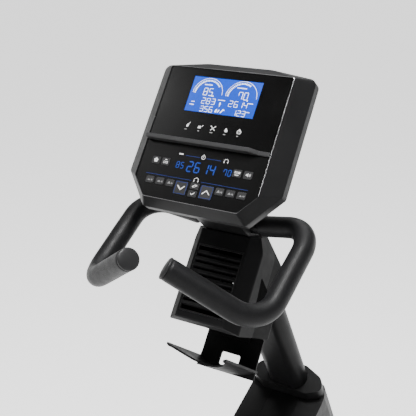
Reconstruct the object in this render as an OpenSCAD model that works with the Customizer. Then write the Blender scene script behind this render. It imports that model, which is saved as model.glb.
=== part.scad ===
// Upright exercise bike: console on a leaning mast, bullhorn handlebar, fan housing with a
// bottle cradle, belt drive with a flywheel inside a shroud, and a height-adjustable saddle.
// X is the rider's right, Y is forward, Z is up. The origin is on the floor under the middle.

/* [Overall] */
// Length of the bike along the floor
bike_length = 1340; // [1300:10:1380]
// Length of the front stabilizer, cap to cap
front_stabilizer_l = 540; // [480:10:600]
// Length of the rear stabilizer, cap to cap
rear_stabilizer_l = 500; // [460:10:560]

/* [Console] */
// Height of the display panel's top edge above the floor
panel_z = 1420; // [1400:5:1440]
// Lean of the display panel from vertical
panel_tilt = 35.4; // [34:0.2:37]
// Width of the display panel
panel_w = 260; // [256:1:264]
// Height of the display panel along its face
panel_h = 266; // [264:1:268]
// Travel of a key
key_travel = 1; // [0.6:0.1:1.2]

/* [Handlebar] */
// Outer diameter of the foam grip
foam_d = 42; // [40:0.5:43]
// Outer diameter of the steel tube
bar_d = 32; // [30:0.5:33]
// Bend radius of the tube's centre line
bar_bend = 62; // [55:1:66]

/* [Mast] */
// Lean of the mast from vertical
mast_lean = 30.5; // [30:0.25:31]
// Width of the mast
mast_w = 100; // [96:1:102]
// Depth of the mast
mast_d = 55; // [52:1:56]

/* [Drive] */
// Crank length, centre to centre
crank_r = 170; // [165:1:175]
// Angle of the right crank below forward
crank_angle = 32; // [0:1:60]
// Radius of the drive pulley
pulley_r = 108; // [100:1:110]
// Radius of the flywheel
flywheel_r = 120; // [110:1:124]
// Radius of the flywheel's small pulley
flywheel_pulley_r = 20; // [18:1:24]

/* [Saddle] */
// Lean of the seat tube from vertical
seat_lean = 16; // [15:0.5:17]
// Length of the saddle
saddle_l = 270; // [260:1:275]
// Width of the saddle
saddle_w = 250; // [230:1:260]

/* [Hidden] */
$fn = 48;

front_y = bike_length / 2;         // foremost point: the transport wheels
wheel_r = 26;
wheel_y = front_y - wheel_r;
wheel_z = wheel_r + 4;
front_bar_y = wheel_y - 67;        // centre line of the front stabilizer
rear_bar_y = -560;
bar_low = 22;                      // underside of both stabilizer tubes
bar_high = 66;                     // their top, where the spine sits
bar_depth = 76;                    // their size along Y
spine_w = 50;
spine_h = 60;
spine_top = bar_high + spine_h;
wall = 3;                          // wall of the plastic shells

panel_y = 70;                      // the panel's top edge
mast_y = 363;                      // a point on the mast's axis, above the shroud
mast_z = 637;
mast_foot = -150;                  // the mast's lower end, along its axis
mast_top = 530;
socket_top = -64;                  // the socket around the mast's foot
clamp_s = 560;                     // height of the handlebar's centre along the mast
clamp_y = mast_y - clamp_s * sin(mast_lean);
clamp_z = mast_z + clamp_s * cos(mast_lean);

crank_y = -310;
crank_z = 310;
arm_in = 90;                       // inner face of the crank arms
arm_t = 14;
pedal_in = 112;                    // inner end of a pedal's body
pedal_w = 90;
pedal_l = 100;
spindle_r = 6;
fly_y = 230;
fly_z = 310;
belt_x = 44;                       // inner face of the belt's plane
belt_w = 12;

seat_y = -535;                     // the saddle's middle
seat_z = 880;                      // the top of the seat post
saddle_rear = -bike_length / 2;
post_w = 36;
post_d = 56;
post_gap = 0.35;                   // clearance around the post in its sleeve
sleeve_t = 3;
tube_t = 3;
tube_top = -325;                   // top of the seat tube, along its axis from seat_z
post_low = -540;                   // lower end of the seat post
pin_s = -372;                      // height of the locking pin

lcd_hw = 73.4;                     // half width of the display window
lcd_u = [15.8, 88];                // its upper and lower edges, down the panel
shelf_u = 147;                     // upper face of the media shelf
key_gap = 0.4;

face_n = -172;                     // front face of the fan housing, behind the panel plane
back_n = -352;                     // its rear face
split_n = -262;                    // where its two shells meet
house_hw = 79;
fan_u = 372;                       // centre of the fan, down the panel
fan_r = 44;

// ---------------------------------------------------------------- helpers

function unit(v) = v / norm(v);

// One rounded corner at b, between neighbours a and c
function corner(a, b, c, r, n) =
  r <= 0 ? [b] :
  let (u = unit(a - b), v = unit(c - b), half = acos(u * v) / 2,
    mid = b + unit(u + v) * r / sin(half),
    p = b + u * r / tan(half) - mid, q = b + v * r / tan(half) - mid,
    from = atan2(p[1], p[0]), turn = atan2(p[0] * q[1] - p[1] * q[0], p * q))
  [for (i = [0:n]) mid + r * [cos(from + turn * i / n), sin(from + turn * i / n)]];

// Polygon points with every corner rounded: each point is [x, y, radius]
function rounded(pts, n = 6) =
  [for (i = [0:len(pts) - 1])
    let (a = pts[(i + len(pts) - 1) % len(pts)], b = pts[i], c = pts[(i + 1) % len(pts)])
    each corner([a[0], a[1]], [b[0], b[1]], [c[0], c[1]], b[2], n)];

function mirrored(half) =
  concat(half, [for (i = [len(half) - 1:-1:0]) [-half[i][0], half[i][1], half[i][2]]]);

module rounded_rect(w, d, r) {
  polygon(rounded([[w / 2, d / 2, r], [-w / 2, d / 2, r], [-w / 2, -d / 2, r], [w / 2, -d / 2, r]]));
}

module stadium(w, d) {
  for (side = [-1, 1]) translate([side * (w - d) / 2, 0]) circle(d = d);
  square([w - d, d], center = true);
}

// A profile drawn in Y and Z, extruded along X between two planes
module side_profile(x0, x1) {
  translate([x0, 0, 0]) rotate([90, 0, 90]) linear_extrude(x1 - x0) children();
}

module x_cylinder(x0, x1, y, z, r) {
  translate([x0, y, z]) rotate([0, 90, 0]) cylinder(h = x1 - x0, r = r);
}

// Panel frame: X as is, Y up the panel, Z out of its face, origin at the top edge's middle
module on_panel() {
  translate([0, panel_y, panel_z]) rotate([90 - panel_tilt, 0, 0]) children();
}

// Mast frame: Z up the mast's axis
module on_mast() {
  translate([0, mast_y, mast_z]) rotate([mast_lean, 0, 0]) children();
}

// Seat frame: Z up the seat post's axis, origin at its top
module on_seat() {
  translate([0, seat_y, seat_z]) rotate([seat_lean, 0, 0]) children();
}

module both_sides() {
  children();
  mirror([1, 0, 0]) children();
}

// Points along one bent corner of a tube's centre line
function bend_points(a, b, c, bend, n) =
  let (d1 = unit(b - a), d2 = unit(c - b), turn = acos(d1 * d2), in = unit(d2 - d1 * (d1 * d2)),
    mid = b - d1 * bend * tan(turn / 2) + in * bend)
  [for (i = [0:n]) mid - in * bend * cos(turn * i / n) + d1 * bend * sin(turn * i / n)];

// A whole centre line: straight legs joined by bends
function bent_path(pts, bend) =
  concat([pts[0]],
    [for (i = [1:len(pts) - 2]) each bend_points(pts[i - 1], pts[i], pts[i + 1], bend, bend_steps)],
    [pts[len(pts) - 1]]);

function path_direction(path, i) =
  let (last = len(path) - 1, a = path[max(i, 1)] - path[max(i, 1) - 1],
    b = path[min(i, last - 1) + 1] - path[min(i, last - 1)])
  unit(unit(a) + unit(b));

// One ring of points around a centre line, turned to face along it
function ring(path, i, r) =
  let (t = path_direction(path, i), e1 = unit(cross(t, ring_up)), e2 = cross(t, e1))
  [for (j = [0:ring_sides - 1])
    path[i] + r * (e1 * cos(j * 360 / ring_sides) + e2 * sin(j * 360 / ring_sides))];

// A hollow tube of round section swept along a bent centre line
module swept_tube(path, r_out, r_in) {
  m = len(path);
  k = ring_sides;
  points = concat([for (i = [0:m - 1]) each ring(path, i, r_out)],
    [for (i = [0:m - 1]) each ring(path, i, r_in)]);
  function skin(i, j, base) = base + i * k + j % k;
  outer = [for (i = [0:m - 2], j = [0:k - 1]) each [
    [skin(i, j, 0), skin(i + 1, j, 0), skin(i + 1, j + 1, 0)],
    [skin(i, j, 0), skin(i + 1, j + 1, 0), skin(i, j + 1, 0)]]];
  inner = [for (i = [0:m - 2], j = [0:k - 1]) each [
    [skin(i, j, m * k), skin(i + 1, j + 1, m * k), skin(i + 1, j, m * k)],
    [skin(i, j, m * k), skin(i, j + 1, m * k), skin(i + 1, j + 1, m * k)]]];
  start = [for (j = [0:k - 1]) each [
    [skin(0, j, 0), skin(0, j + 1, 0), skin(0, j + 1, m * k)],
    [skin(0, j, 0), skin(0, j + 1, m * k), skin(0, j, m * k)]]];
  stop = [for (j = [0:k - 1]) each [
    [skin(m - 1, j, 0), skin(m - 1, j + 1, m * k), skin(m - 1, j + 1, 0)],
    [skin(m - 1, j, 0), skin(m - 1, j, m * k), skin(m - 1, j + 1, m * k)]]];
  polyhedron(points, concat(outer, inner, start, stop));
}

// ---------------------------------------------------------------- frame and feet

module stabilizer_tube(y, l) {
  translate([-l / 2, y, (bar_low + bar_high) / 2]) rotate([90, 0, 90]) linear_extrude(l)
    difference() {
      rounded_rect(bar_depth, bar_high - bar_low, 14);
      rounded_rect(bar_depth - 5, bar_high - bar_low - 5, 11.5);
    }
}

bolt_r = 5;
bolt_y = [front_bar_y - 20, front_bar_y + 20, rear_bar_y - 20, rear_bar_y + 20];

module bolt_holes() {
  for (y = bolt_y) translate([0, y, bar_low - 5]) cylinder(h = 140, r = bolt_r + 0.4);
}

leveler_x = rear_stabilizer_l / 2 - 32;
leveler_r = 5;

module front_stabilizer() {
  color([0.17, 0.17, 0.18]) difference() {
    stabilizer_tube(front_bar_y, front_stabilizer_l - 16);
    bolt_holes();
  }
}

module rear_stabilizer() {
  color([0.17, 0.17, 0.18]) difference() {
    stabilizer_tube(rear_bar_y, rear_stabilizer_l - 16);
    bolt_holes();
    both_sides() translate([leveler_x, rear_bar_y, 0]) cylinder(h = 70, r = leveler_r + 3);
  }
}

// A cap that closes one end of a stabilizer and carries its pad or its threaded boss
module end_cap(y, half, pad_low, nut) {
  plug = 60;
  difference() {
    union() {
      translate([half - plug, y, (bar_low + bar_high) / 2]) rotate([90, 0, 90])
        linear_extrude(plug) rounded_rect(bar_depth + 8, bar_high - bar_low + 8, 18);
      translate([half - plug + 6, y - 24, pad_low]) cube([plug - 16, 48, bar_low - pad_low]);
    }
    translate([half - plug - 1, y, (bar_low + bar_high) / 2]) rotate([90, 0, 90])
      linear_extrude(plug - 6) rounded_rect(bar_depth + 0.4, bar_high - bar_low + 0.4, 14);
    if (nut) translate([leveler_x, y, -1]) cylinder(h = 80, r = leveler_r + 0.3);
  }
}

module stabilizer_end_caps() {
  color([0.1, 0.1, 0.1]) both_sides() {
    difference() {
      end_cap(front_bar_y, front_stabilizer_l / 2, 0, false);
      x_cylinder(wheel_x - 13, wheel_x + 13, wheel_y, wheel_z, wheel_r + 2);
    }
    wheel_fork();
    end_cap(rear_bar_y, rear_stabilizer_l / 2, 10, true);
  }
}

wheel_x = 236;                     // middle of a transport wheel
wheel_w = 22;

module wheel_fork() {
  for (side = [-1, 1])
    difference() {
      hull() {
        x_cylinder(wheel_x + side * 17 - 3, wheel_x + side * 17 + 3, wheel_y, wheel_z, 11);
        translate([wheel_x + side * 17 - 3, front_bar_y + 20, bar_low])
          cube([6, 20, bar_high - bar_low]);
      }
      x_cylinder(0, 400, wheel_y, wheel_z, 4.05);
      translate([0, front_bar_y, (bar_low + bar_high) / 2]) rotate([90, 0, 90])
        linear_extrude(400) rounded_rect(bar_depth + 0.4, bar_high - bar_low + 0.4, 14);
    }
}

module transport_wheel() {
  difference() {
    translate([wheel_x, wheel_y, wheel_z]) rotate([0, 90, 0]) rotate_extrude()
      polygon(rounded([[4.1, -wheel_w / 2, 0], [10, -wheel_w / 2, 0], [12, -6, 1.5], [18, -6, 1.5],
        [20, -wheel_w / 2, 0], [wheel_r, -wheel_w / 2, 4], [wheel_r, wheel_w / 2, 4],
        [20, wheel_w / 2, 0], [18, 6, 1.5], [12, 6, 1.5], [10, wheel_w / 2, 0],
        [4.1, wheel_w / 2, 0]], 4));
  }
}

module transport_wheel_right() {
  color([0.08, 0.08, 0.08]) transport_wheel();
}

module transport_wheel_left() {
  color([0.08, 0.08, 0.08]) mirror([1, 0, 0]) transport_wheel();
}

module leveler() {
  translate([leveler_x, rear_bar_y, 0]) {
    cylinder(h = 8, r = 21);
    cylinder(h = 60, r = leveler_r);
  }
}

module rear_leveler_right() {
  color([0.12, 0.12, 0.12]) leveler();
}

module rear_leveler_left() {
  color([0.12, 0.12, 0.12]) mirror([1, 0, 0]) leveler();
}

// Bolts: spine to stabilizers, mast in its socket, and the transport wheels' axles
mast_bolt_s = [-135, -100];

module pivot_bolt() {
  translate([fork_x[0] - fork_t - 4, pivot_y, pivot_z]) rotate([0, 90, 0])
    hex_bolt(4, fork_x[1] - fork_x[0] + 2 * fork_t + 4.2);
}

module hex_bolt(r, l) {
  cylinder(h = l, r = r);
  translate([0, 0, l]) cylinder(h = r * 1.3, r = r * 1.8, $fn = 6);
}

module frame_bolts() {
  color([0.75, 0.75, 0.76]) {
    for (y = bolt_y) translate([0, y, bar_low + 4]) hex_bolt(bolt_r, spine_top - bar_low - 4);
    pivot_bolt();
    both_sides() {
      on_mast() for (s = mast_bolt_s) translate([mast_w / 2 - 10, 0, s]) rotate([0, 90, 0])
        hex_bolt(bolt_r, 14.2);
      translate([wheel_x - 20, wheel_y, wheel_z]) rotate([0, 90, 0]) hex_bolt(4, 40);
    }
  }
}

riser_low = [515, 118];            // lower end of the riser's axis in Y and Z
riser_high = [452, 500];

module main_frame() {
  color([0.15, 0.15, 0.16]) difference() {
    union() {
      spine();
      riser();
      mast_socket();
      seat_tube();
      x_cylinder(-36, 36, crank_y, crank_z, 27);
      flywheel_fork();
    }
    bolt_holes();
    x_cylinder(-40, 40, crank_y, crank_z, 21.02);
    on_seat() translate([0, 0, -780]) linear_extrude(560)
      rounded_rect(post_w + 2 * (post_gap + sleeve_t), post_d + 2 * (post_gap + sleeve_t), 9);
    on_seat() translate([0, 0, pin_s]) rotate([0, 90, 0]) cylinder(h = 60, r = 7.5);
    on_mast() translate([0, 0, mast_foot]) linear_extrude(200)
      stadium(mast_w + 0.4, mast_d + 0.4);
    on_mast() for (s = mast_bolt_s) translate([-80, 0, s]) rotate([0, 90, 0])
      cylinder(h = 160, r = bolt_r + 0.3);
    x_cylinder(-80, 80, fly_y, fly_z, 6.02);
    x_cylinder(-80, 80, pivot_y, pivot_z, 4.02);
  }
}

module spine() {
  front = front_bar_y + 36;
  translate([-spine_w / 2, 0, bar_high]) difference() {
    translate([0, rear_bar_y - 36, 0]) cube([spine_w, front - rear_bar_y + 36, spine_h]);
    translate([2.5, rear_bar_y - 33, 2.5])
      cube([spine_w - 5, front - rear_bar_y + 30, spine_h - 5]);
  }
}

module riser() {
  rise = riser_high - riser_low;
  translate([0, riser_low[0], riser_low[1]]) rotate([atan2(-rise[0], rise[1]), 0, 0])
    difference() {
      translate([-32, -24, 0]) cube([64, 48, norm(rise)]);
      translate([-29, -21, 6]) cube([58, 42, norm(rise) - 12]);
    }
}

module mast_socket() {
  on_mast() translate([0, 0, mast_foot - 8]) linear_extrude(socket_top - mast_foot + 8)
    stadium(mast_w + 8, mast_d + 8);
}

module seat_tube() {
  w = post_w + 2 * (post_gap + sleeve_t + tube_t);
  d = post_d + 2 * (post_gap + sleeve_t + tube_t);
  intersection() {
    on_seat() translate([0, 0, -830]) linear_extrude(830 + tube_top) rounded_rect(w, d, 12);
    translate([-100, -800, spine_top - 1]) cube([200, 800, 800]);
  }
  for (side = [-1, 1])
    translate([side * 20 - 3, 0, 0]) side_profile(0, 6)
      polygon([[-320, spine_top - 1], [-230, spine_top - 1], [-345, 250]]);
}

// Two plates that carry the flywheel's axle and the magnet bracket's pivot
pivot_y = fly_y + 40;
pivot_z = fly_z + 142;
fork_x = [-46, 66];                // inner face of the left plate, inner face of the right one
fork_t = 6;

module flywheel_fork() {
  for (x = [fork_x[0] - fork_t, fork_x[1]])
    side_profile(x, x + fork_t)
      polygon(rounded([[fly_y - 45, spine_top - 20, 0], [fly_y + 45, spine_top - 20, 0],
        [fly_y + 26, fly_z, 30], [pivot_y + 14, pivot_z - 8, 20], [pivot_y + 12, pivot_z + 14, 10],
        [pivot_y - 14, pivot_z + 12, 10], [fly_y - 22, fly_z, 40]], 5));
  translate([fork_x[0] - fork_t, fly_y - 45, spine_top - 20])
    cube([fork_x[1] - fork_x[0] + 2 * fork_t, 90, 26]);
}

module power_inlet() {
  color([0.08, 0.08, 0.08]) translate([0, inlet_y, inlet_z]) rotate([-90, 0, 0]) difference() {
    union() {
      cylinder(h = 12, r = 5.5);
      translate([0, 0, 12]) cylinder(h = 2.5, r = 9);
    }
    translate([0, 0, 3]) cylinder(h = 12, r = 2.75);
  }
}

// ---------------------------------------------------------------- mast and handlebar

module mast_tube() {
  color([0.2, 0.2, 0.21]) on_mast() difference() {
    translate([0, 0, mast_foot]) linear_extrude(mast_top - mast_foot) stadium(mast_w, mast_d);
    translate([0, 0, mast_foot - 1]) linear_extrude(mast_top - mast_foot - 5)
      stadium(mast_w - 5, mast_d - 5);
    for (s = mast_bolt_s) translate([-80, 0, s]) rotate([0, 90, 0])
      cylinder(h = 160, r = bolt_r + 0.2);
  }
}

// Corners of the right half of the handlebar's centre line: at the console, front, outer end
bar_front = [189, panel_y - 15, panel_z - 273];
bar_outer = [186, panel_y - 216, panel_z - 389];
bar_end = [37, panel_y - 288, panel_z - 284];
bar_knee = [60, clamp_y, clamp_z];
foam_start = bar_knee + unit(bar_front - bar_knee) * 9;
cap_t = 5;
foam_end = bar_end + unit(bar_outer - bar_end) * cap_t;

bend_steps = 8;
ring_sides = 24;
ring_up = [0, -0.47, 0.88];        // roughly square to the handlebar's plane

module handlebar() {
  function flipped(p) = [-p[0], p[1], p[2]];
  path = bent_path([flipped(foam_end), flipped(bar_outer), flipped(bar_front), flipped(bar_knee),
    bar_knee, bar_front, bar_outer, foam_end], bar_bend);
  color([0.25, 0.25, 0.26]) swept_tube(path, bar_d / 2, bar_d / 2 - 2.5);
}

module foam_grips() {
  path = bent_path([foam_start, bar_front, bar_outer, foam_end], bar_bend);
  color([0.28, 0.28, 0.29]) both_sides() swept_tube(path, foam_d / 2, bar_d / 2 + 0.02);
}

module grip_end_caps() {
  out = unit(bar_end - bar_outer);
  dome = 4;
  r = foam_d / 2;
  color([0.32, 0.32, 0.33]) both_sides()
    translate(foam_end + out * 0.1) rotate([0, acos(out[2]), atan2(out[1], out[0])])
      rotate_extrude() polygon(concat([[0, 0], [r, 0]],
        [for (i = [0:8]) [r * cos(i * 11.25), cap_t - 2 + dome * sin(i * 11.25)]]));
}

module handlebar_clamp() {
  half = 26;
  color([0.3, 0.3, 0.3]) on_mast() difference() {
    union() {
      translate([0, 0, mast_top + 0.1]) linear_extrude(6) stadium(mast_w, mast_d);
      translate([-38, -23, mast_top + 1]) cube([76, 46, clamp_s - mast_top - 2]);
      translate([-38, -23, clamp_s + 1]) cube([76, 46, 20]);
      for (x = [-half, half], y = [-18, 18]) translate([x, y, mast_top + 4])
        cylinder(h = 55, r = 3.5);
    }
    translate([-60, 0, clamp_s]) rotate([0, 90, 0]) cylinder(h = 120, r = bar_d / 2 + 0.3);
  }
}

// ---------------------------------------------------------------- fan housing and cradle

// Drawn in the panel frame: u runs down the panel and n out of it
module housing_block(inset) {
  i = inset;
  intersection() {
    side_profile(-house_hw + i, house_hw - i)
      polygon(rounded([[-268, face_n - i, i > 0 ? 0 : 2], [-452 + i, face_n - i, 6],
        [-457 + i, -205, 4], [-434 + i, back_n + i, 8], [-311, back_n + i, 8],
        [-247, -224, 2]], 4));
    rotate([90, 0, 0]) translate([0, 0, 200]) linear_extrude(300)
      polygon(rounded(mirrored([[54 - i * 0.6, face_n - i, 8], [house_hw - i, -198 - i * 0.5, 8],
        [house_hw - i, back_n + i, 14]]), 5));
    translate([0, 0, -380]) linear_extrude(260)
      polygon(rounded(mirrored([[house_hw - 16.5 - i, -240, 0], [house_hw - i, -288, 60],
        [house_hw - i, -470, 0]]), 6));
  }
}

module mast_clearance(gap) {
  translate([0, mast_y - panel_y, mast_z - panel_z]) rotate([mast_lean, 0, 0])
    translate([0, 0, 200]) linear_extrude(420) stadium(mast_w + 2 * gap, mast_d + 2 * gap);
}

grille_hw = 52;
grille_u = [300, 438];

module housing_shell() {
  difference() {
    housing_block(0);
    difference() {
      housing_block(wall);
      translate([-200, -420, -400]) cube([400, 1, 1]);
    }
    translate([-50.6, -275, -243]) cube([101.2, 60, 68]);
    rotate([panel_tilt - 90, 0, 0]) mast_clearance(0.6);
    translate([-grille_hw, -grille_u[1], face_n - 8])
      cube([2 * grille_hw, grille_u[1] - grille_u[0], 20]);
  }
}

module fan_housing_front() {
  color([0.24, 0.24, 0.25]) on_panel() difference() {
    intersection() {
      housing_shell();
      translate([-100, -500, split_n + 0.1]) cube([200, 300, 200]);
    }
    side_recess();
  }
}

module fan_housing_rear() {
  color([0.22, 0.22, 0.23]) on_panel() difference() {
    intersection() {
      housing_shell();
      translate([-100, -500, split_n - 200]) cube([200, 300, 199.9]);
    }
    side_recess();
  }
}

// Shallow triangle pressed into each side
module side_recess() {
  both_sides() side_profile(house_hw - 1.6, house_hw + 5)
    polygon(rounded([[-331, -224, 3], [-426, -242, 6], [-376, -340, 6]], 4));
}

module fan_grille() {
  louvres = 10;
  gap = (grille_u[1] - grille_u[0] - 6) / louvres;
  color([0.05, 0.05, 0.05]) on_panel() {
    difference() {
      translate([-grille_hw + 0.2, -grille_u[1] + 0.2, face_n - 8])
        cube([2 * grille_hw - 0.4, grille_u[1] - grille_u[0] - 0.4, 7]);
      translate([-grille_hw + 3.2, -grille_u[1] + 3.2, face_n - 9])
        cube([2 * grille_hw - 6.4, grille_u[1] - grille_u[0] - 6.4, 10]);
    }
    for (i = [1:louvres - 1])
      translate([-grille_hw + 2, -grille_u[0] - 3 - i * gap, face_n - 5]) rotate([-24, 0, 0])
        translate([0, -3.3, -5]) cube([2 * grille_hw - 4, 6.6, 9]);
    translate([-grille_hw + 1, -grille_u[0] - 86, face_n - 3]) cube([7, 12, 6]);
  }
}

module fan_motor() {
  color([0.6, 0.6, 0.62]) on_panel() translate([0, -fan_u, -258]) {
    cylinder(h = 24, r = 17);
    translate([-30, -5, 0]) cube([60, 10, 4]);
    translate([-5, -60, -40]) cube([10, 98, 3]);
    translate([-5, -5, -40]) cube([10, 10, 42]);
  }
}

module fan_impeller() {
  blades = 7;
  color([0.12, 0.12, 0.13]) on_panel() translate([0, -fan_u, -230]) {
    cylinder(h = 20, r = 14);
    for (i = [0:blades - 1]) rotate([0, 0, i * 360 / blades])
      translate([10, 0, 10]) rotate([32, 0, 0]) translate([0, -1, -9]) cube([fan_r - 12, 2, 18]);
  }
}

// Cradle for a bottle: a curved back plate and a curved floor that ends in two horns
module bottle_holder() {
  floor_u = 526;
  plate_n = back_n - 11;
  color([0.3, 0.3, 0.31]) on_panel() difference() {
    union() {
      intersection() {
        translate([0, -floor_u, plate_n + cradle_back_r]) rotate([-90, 0, 0])
          trough(floor_u - 430, cradle_back_r);
        translate([0, 0, plate_n - 10]) linear_extrude(50) cradle_outline(floor_u);
      }
      intersection() {
        translate([0, cradle_floor_r - floor_u, plate_n]) trough(163, cradle_floor_r);
        translate([-68, -floor_u - 50, plate_n]) cube([136, 90, 200]);
      }
      translate([-34, -452, plate_n + 3.5]) cube([68, 34, 7.3]);
    }
    translate([0, -400, plate_n + 165]) rotate([90, 0, 0]) cylinder(h = 200, r = 62);
    translate([0, -498, plate_n - 20]) linear_extrude(60) rounded_rect(45, 28, 4);
  }
}

cradle_back_r = 400;
cradle_floor_r = 145;
cradle_t = 4;

module trough(l, r) {
  difference() {
    cylinder(h = l, r = r, $fn = 96);
    translate([0, 0, -1]) cylinder(h = l + 2, r = r - cradle_t, $fn = 96);
  }
}

// Front view of the back plate: it flares where it turns into the floor
module cradle_outline(floor_u) {
  polygon(rounded(mirrored([[66, -438, 4], [66, -floor_u + 34, 40], [69, -floor_u, 0]])));
}

// ---------------------------------------------------------------- console

// Outline of the console, grown from the panel (0) to the widest part of the case (1)
function console_points(g, r) =
  rounded(mirrored([[(panel_w / 2 + 34 * g) * 0.42, 23 * g, 120],
    [panel_w / 2 + 33 * g, 11 * g, r], [panel_w / 2 + 34 * g, -231 + 15 * g, 8],
    [100 + 10 * g, -panel_h - 14 * g, 8]]), 5);

module console_slice(g, r, n, t) {
  translate([0, 0, n]) linear_extrude(t) polygon(console_points(g, r));
}

module case_block(inset) {
  s = inset / 34;
  hull() {
    console_slice(1 - s, 14, -34, 6);
    console_slice(1 - s, 14, -44, 6);
    console_slice(-0.1 - s, 20, -76 + inset, 6);
  }
}

module console_back_case() {
  color([0.23, 0.23, 0.24]) on_panel() difference() {
    case_block(0);
    case_block(wall);
    translate([0, 0, -31]) linear_extrude(10) polygon(console_points(0.9, 12));
    translate([-20, -252, -80]) cube([40, 40, 20]);
  }
}

module console_bezel() {
  color([0.45, 0.45, 0.46]) on_panel() difference() {
    hull() {
      console_slice(0.06, 4, -1, 1.5);
      console_slice(1, 14, -27.8, 2);
    }
    translate([0, 0, -30]) linear_extrude(60) polygon(console_points(0.012, 3));
    hull() {
      console_slice(0.03, 4, -5, 1);
      console_slice(0.9, 14, -29, 2);
    }
  }
}

// The part of the panel's outline between two heights
module panel_band(u0, u1, n, t) {
  intersection() {
    translate([0, 0, n]) linear_extrude(t) polygon(console_points(-0.01, 2.4));
    translate([-200, -u1, n - 1]) cube([400, u1 - u0, t + 2]);
  }
}

module display_panel() {
  color([0.06, 0.06, 0.07]) on_panel() difference() {
    panel_band(-20, shelf_u - 0.2, -4, 3.5);
    translate([-lcd_hw, -lcd_u[1], -10]) cube([2 * lcd_hw, lcd_u[1] - lcd_u[0], 20]);
  }
}

module lcd_screen() {
  color([0.2, 0.75, 0.95]) on_panel() {
    translate([-lcd_hw + 0.2, -lcd_u[1] + 0.2, -6])
      cube([2 * lcd_hw - 0.4, lcd_u[1] - lcd_u[0] - 0.4, 5.2]);
    translate([-lcd_hw - 5, -lcd_u[1] - 5, -9]) cube([2 * lcd_hw + 10, 82, 3]);
  }
}

module media_shelf() {
  color([0.35, 0.35, 0.36]) on_panel() rotate([90, 0, 0]) {
    translate([0, 0, shelf_u]) linear_extrude(8)
      polygon([[-129, -0.3], [129, -0.3], [129, 2], [108, 2], [92, 13], [-129, 13]]);
    translate([-129, -4, shelf_u + 1]) cube([258, 4.5, 7]);
  }
}

// Keys: x and u of the middle, width and height
fan_at = [-97, 194, 17, 14];
wireless_at = [-75.5, 194, 17, 14];
display_at = [77, 194, 17, 14];
volume_at = [99, 194, 17, 14];
down_at = [-26.5, 239, 26, 25];
up_at = [28, 239, 26, 25];
start_at = [1, 231, 18, 12];
stop_at = [1, 246, 18, 12];
quick_left_at = [for (i = [0:2]) [-97 + i * 22.5, 233, 17, 13]];
quick_right_at = [for (i = [0:2]) [98.5 - i * 22.5, 233, 17, 13]];

module key_shape(k, grow, n, t) {
  translate([k[0], -k[1], n]) linear_extrude(t)
    rounded_rect(k[2] + 2 * grow, k[3] + 2 * grow, 2 + grow);
}

module control_panel() {
  color([0.07, 0.07, 0.08]) on_panel() difference() {
    panel_band(shelf_u + 8.2, 300, -4, 3);
    for (k = concat([fan_at, wireless_at, display_at, volume_at, down_at, up_at, start_at,
      stop_at], quick_left_at, quick_right_at)) key_shape(k, key_gap, -10, 20);
  }
}

// A key: its cap, the rim that holds it under the panel, and the stem over its switch
module key(k) {
  stem = -12 + key_travel;
  color([0.3, 0.3, 0.31]) on_panel() {
    key_shape(k, 0, -6, 5.8);
    key_shape(k, 1.1, -7, 2.4);
    translate([k[0] - 3, -k[1] - 3, stem]) cube([6, 6, -6 - stem]);
  }
}

// Three keys moulded on one strip
module key_strip(ks) {
  color([0.3, 0.3, 0.31]) on_panel() {
    for (k = ks) key_shape(k, 0, -7, 6.8);
    for (k = ks) key_shape(k, 1.1, -7, 2.4);
    translate([ks[1][0] - 30, -ks[1][1] - 4, -7]) cube([60, 8, 2.4]);
  }
}

module fan_key() {
  key(fan_at);
}

module wireless_key() {
  key(wireless_at);
}

module display_key() {
  key(display_at);
}

module volume_key() {
  key(volume_at);
}

module quick_keys_left() {
  key_strip(quick_left_at);
}

module quick_keys_right() {
  key_strip(quick_right_at);
}

module down_key() {
  key(down_at);
}

module up_key() {
  key(up_at);
}

module start_key() {
  key(start_at);
}

module stop_key() {
  key(stop_at);
}

module circuit_board() {
  color([0.1, 0.35, 0.18]) on_panel() {
    translate([-95, -256, -15]) cube([190, 232, 1.6]);
    for (x = [-60, 0, 60]) translate([x - 10, -130, -18]) cube([20, 16, 3]);
  }
}

// A hood that carries the console on the mast and hides the clamp
module neck_solid(inset) {
  i = inset;
  side_profile(-50 + i, 50 - i)
    polygon(rounded([[-205 - i, -76.4 + (i > 0 ? -3.4 : 0), 0], [-255 + i, -76.4 + (i > 0 ? -3.4 : 0), 0],
      [-266 + i, -172 - (i > 0 ? -1 : 0), 0], [-241 + i, -254 - i, 0], [-200 - i, -232 + i, 26],
      [-192 - i, -160, 30]], 5));
}

module console_neck() {
  color([0.2, 0.2, 0.21]) on_panel() difference() {
    neck_block(0);
    neck_block(wall);
    bar_u = -240.2;
    translate([-60, bar_u, -181]) rotate([0, 90, 0]) cylinder(h = 120, r = bar_d / 2 + 0.6);
    rotate([panel_tilt - 90, 0, 0]) translate([0, mast_y - panel_y, mast_z - panel_z])
      rotate([mast_lean, 0, 0]) {
        translate([0, 0, 400]) linear_extrude(mast_top - 392)
          stadium(mast_w + 1.2, mast_d + 1.2);
        translate([-38.6, -23.6, 500]) cube([77.2, 47.2, 84]);
      }
  }
}

module neck_block(inset) {
  intersection() {
    neck_solid(inset);
    rotate([90, 0, 0]) translate([0, 0, 180]) linear_extrude(120)
      rounded_neck(inset);
  }
}

module rounded_neck(inset) {
  translate([0, -165]) rounded_rect(100 - 2 * inset, 178 + 2 * inset, 30);
}

// ---------------------------------------------------------------- shroud

inlet_y = 586.1;
inlet_z = 175;
seam_y = 366;                      // the seam across the top, on the rider's side of the mast
seam_z = 568;
seam_lean = 17;
strip_hw = 38;
shroud_low = 112;

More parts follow.
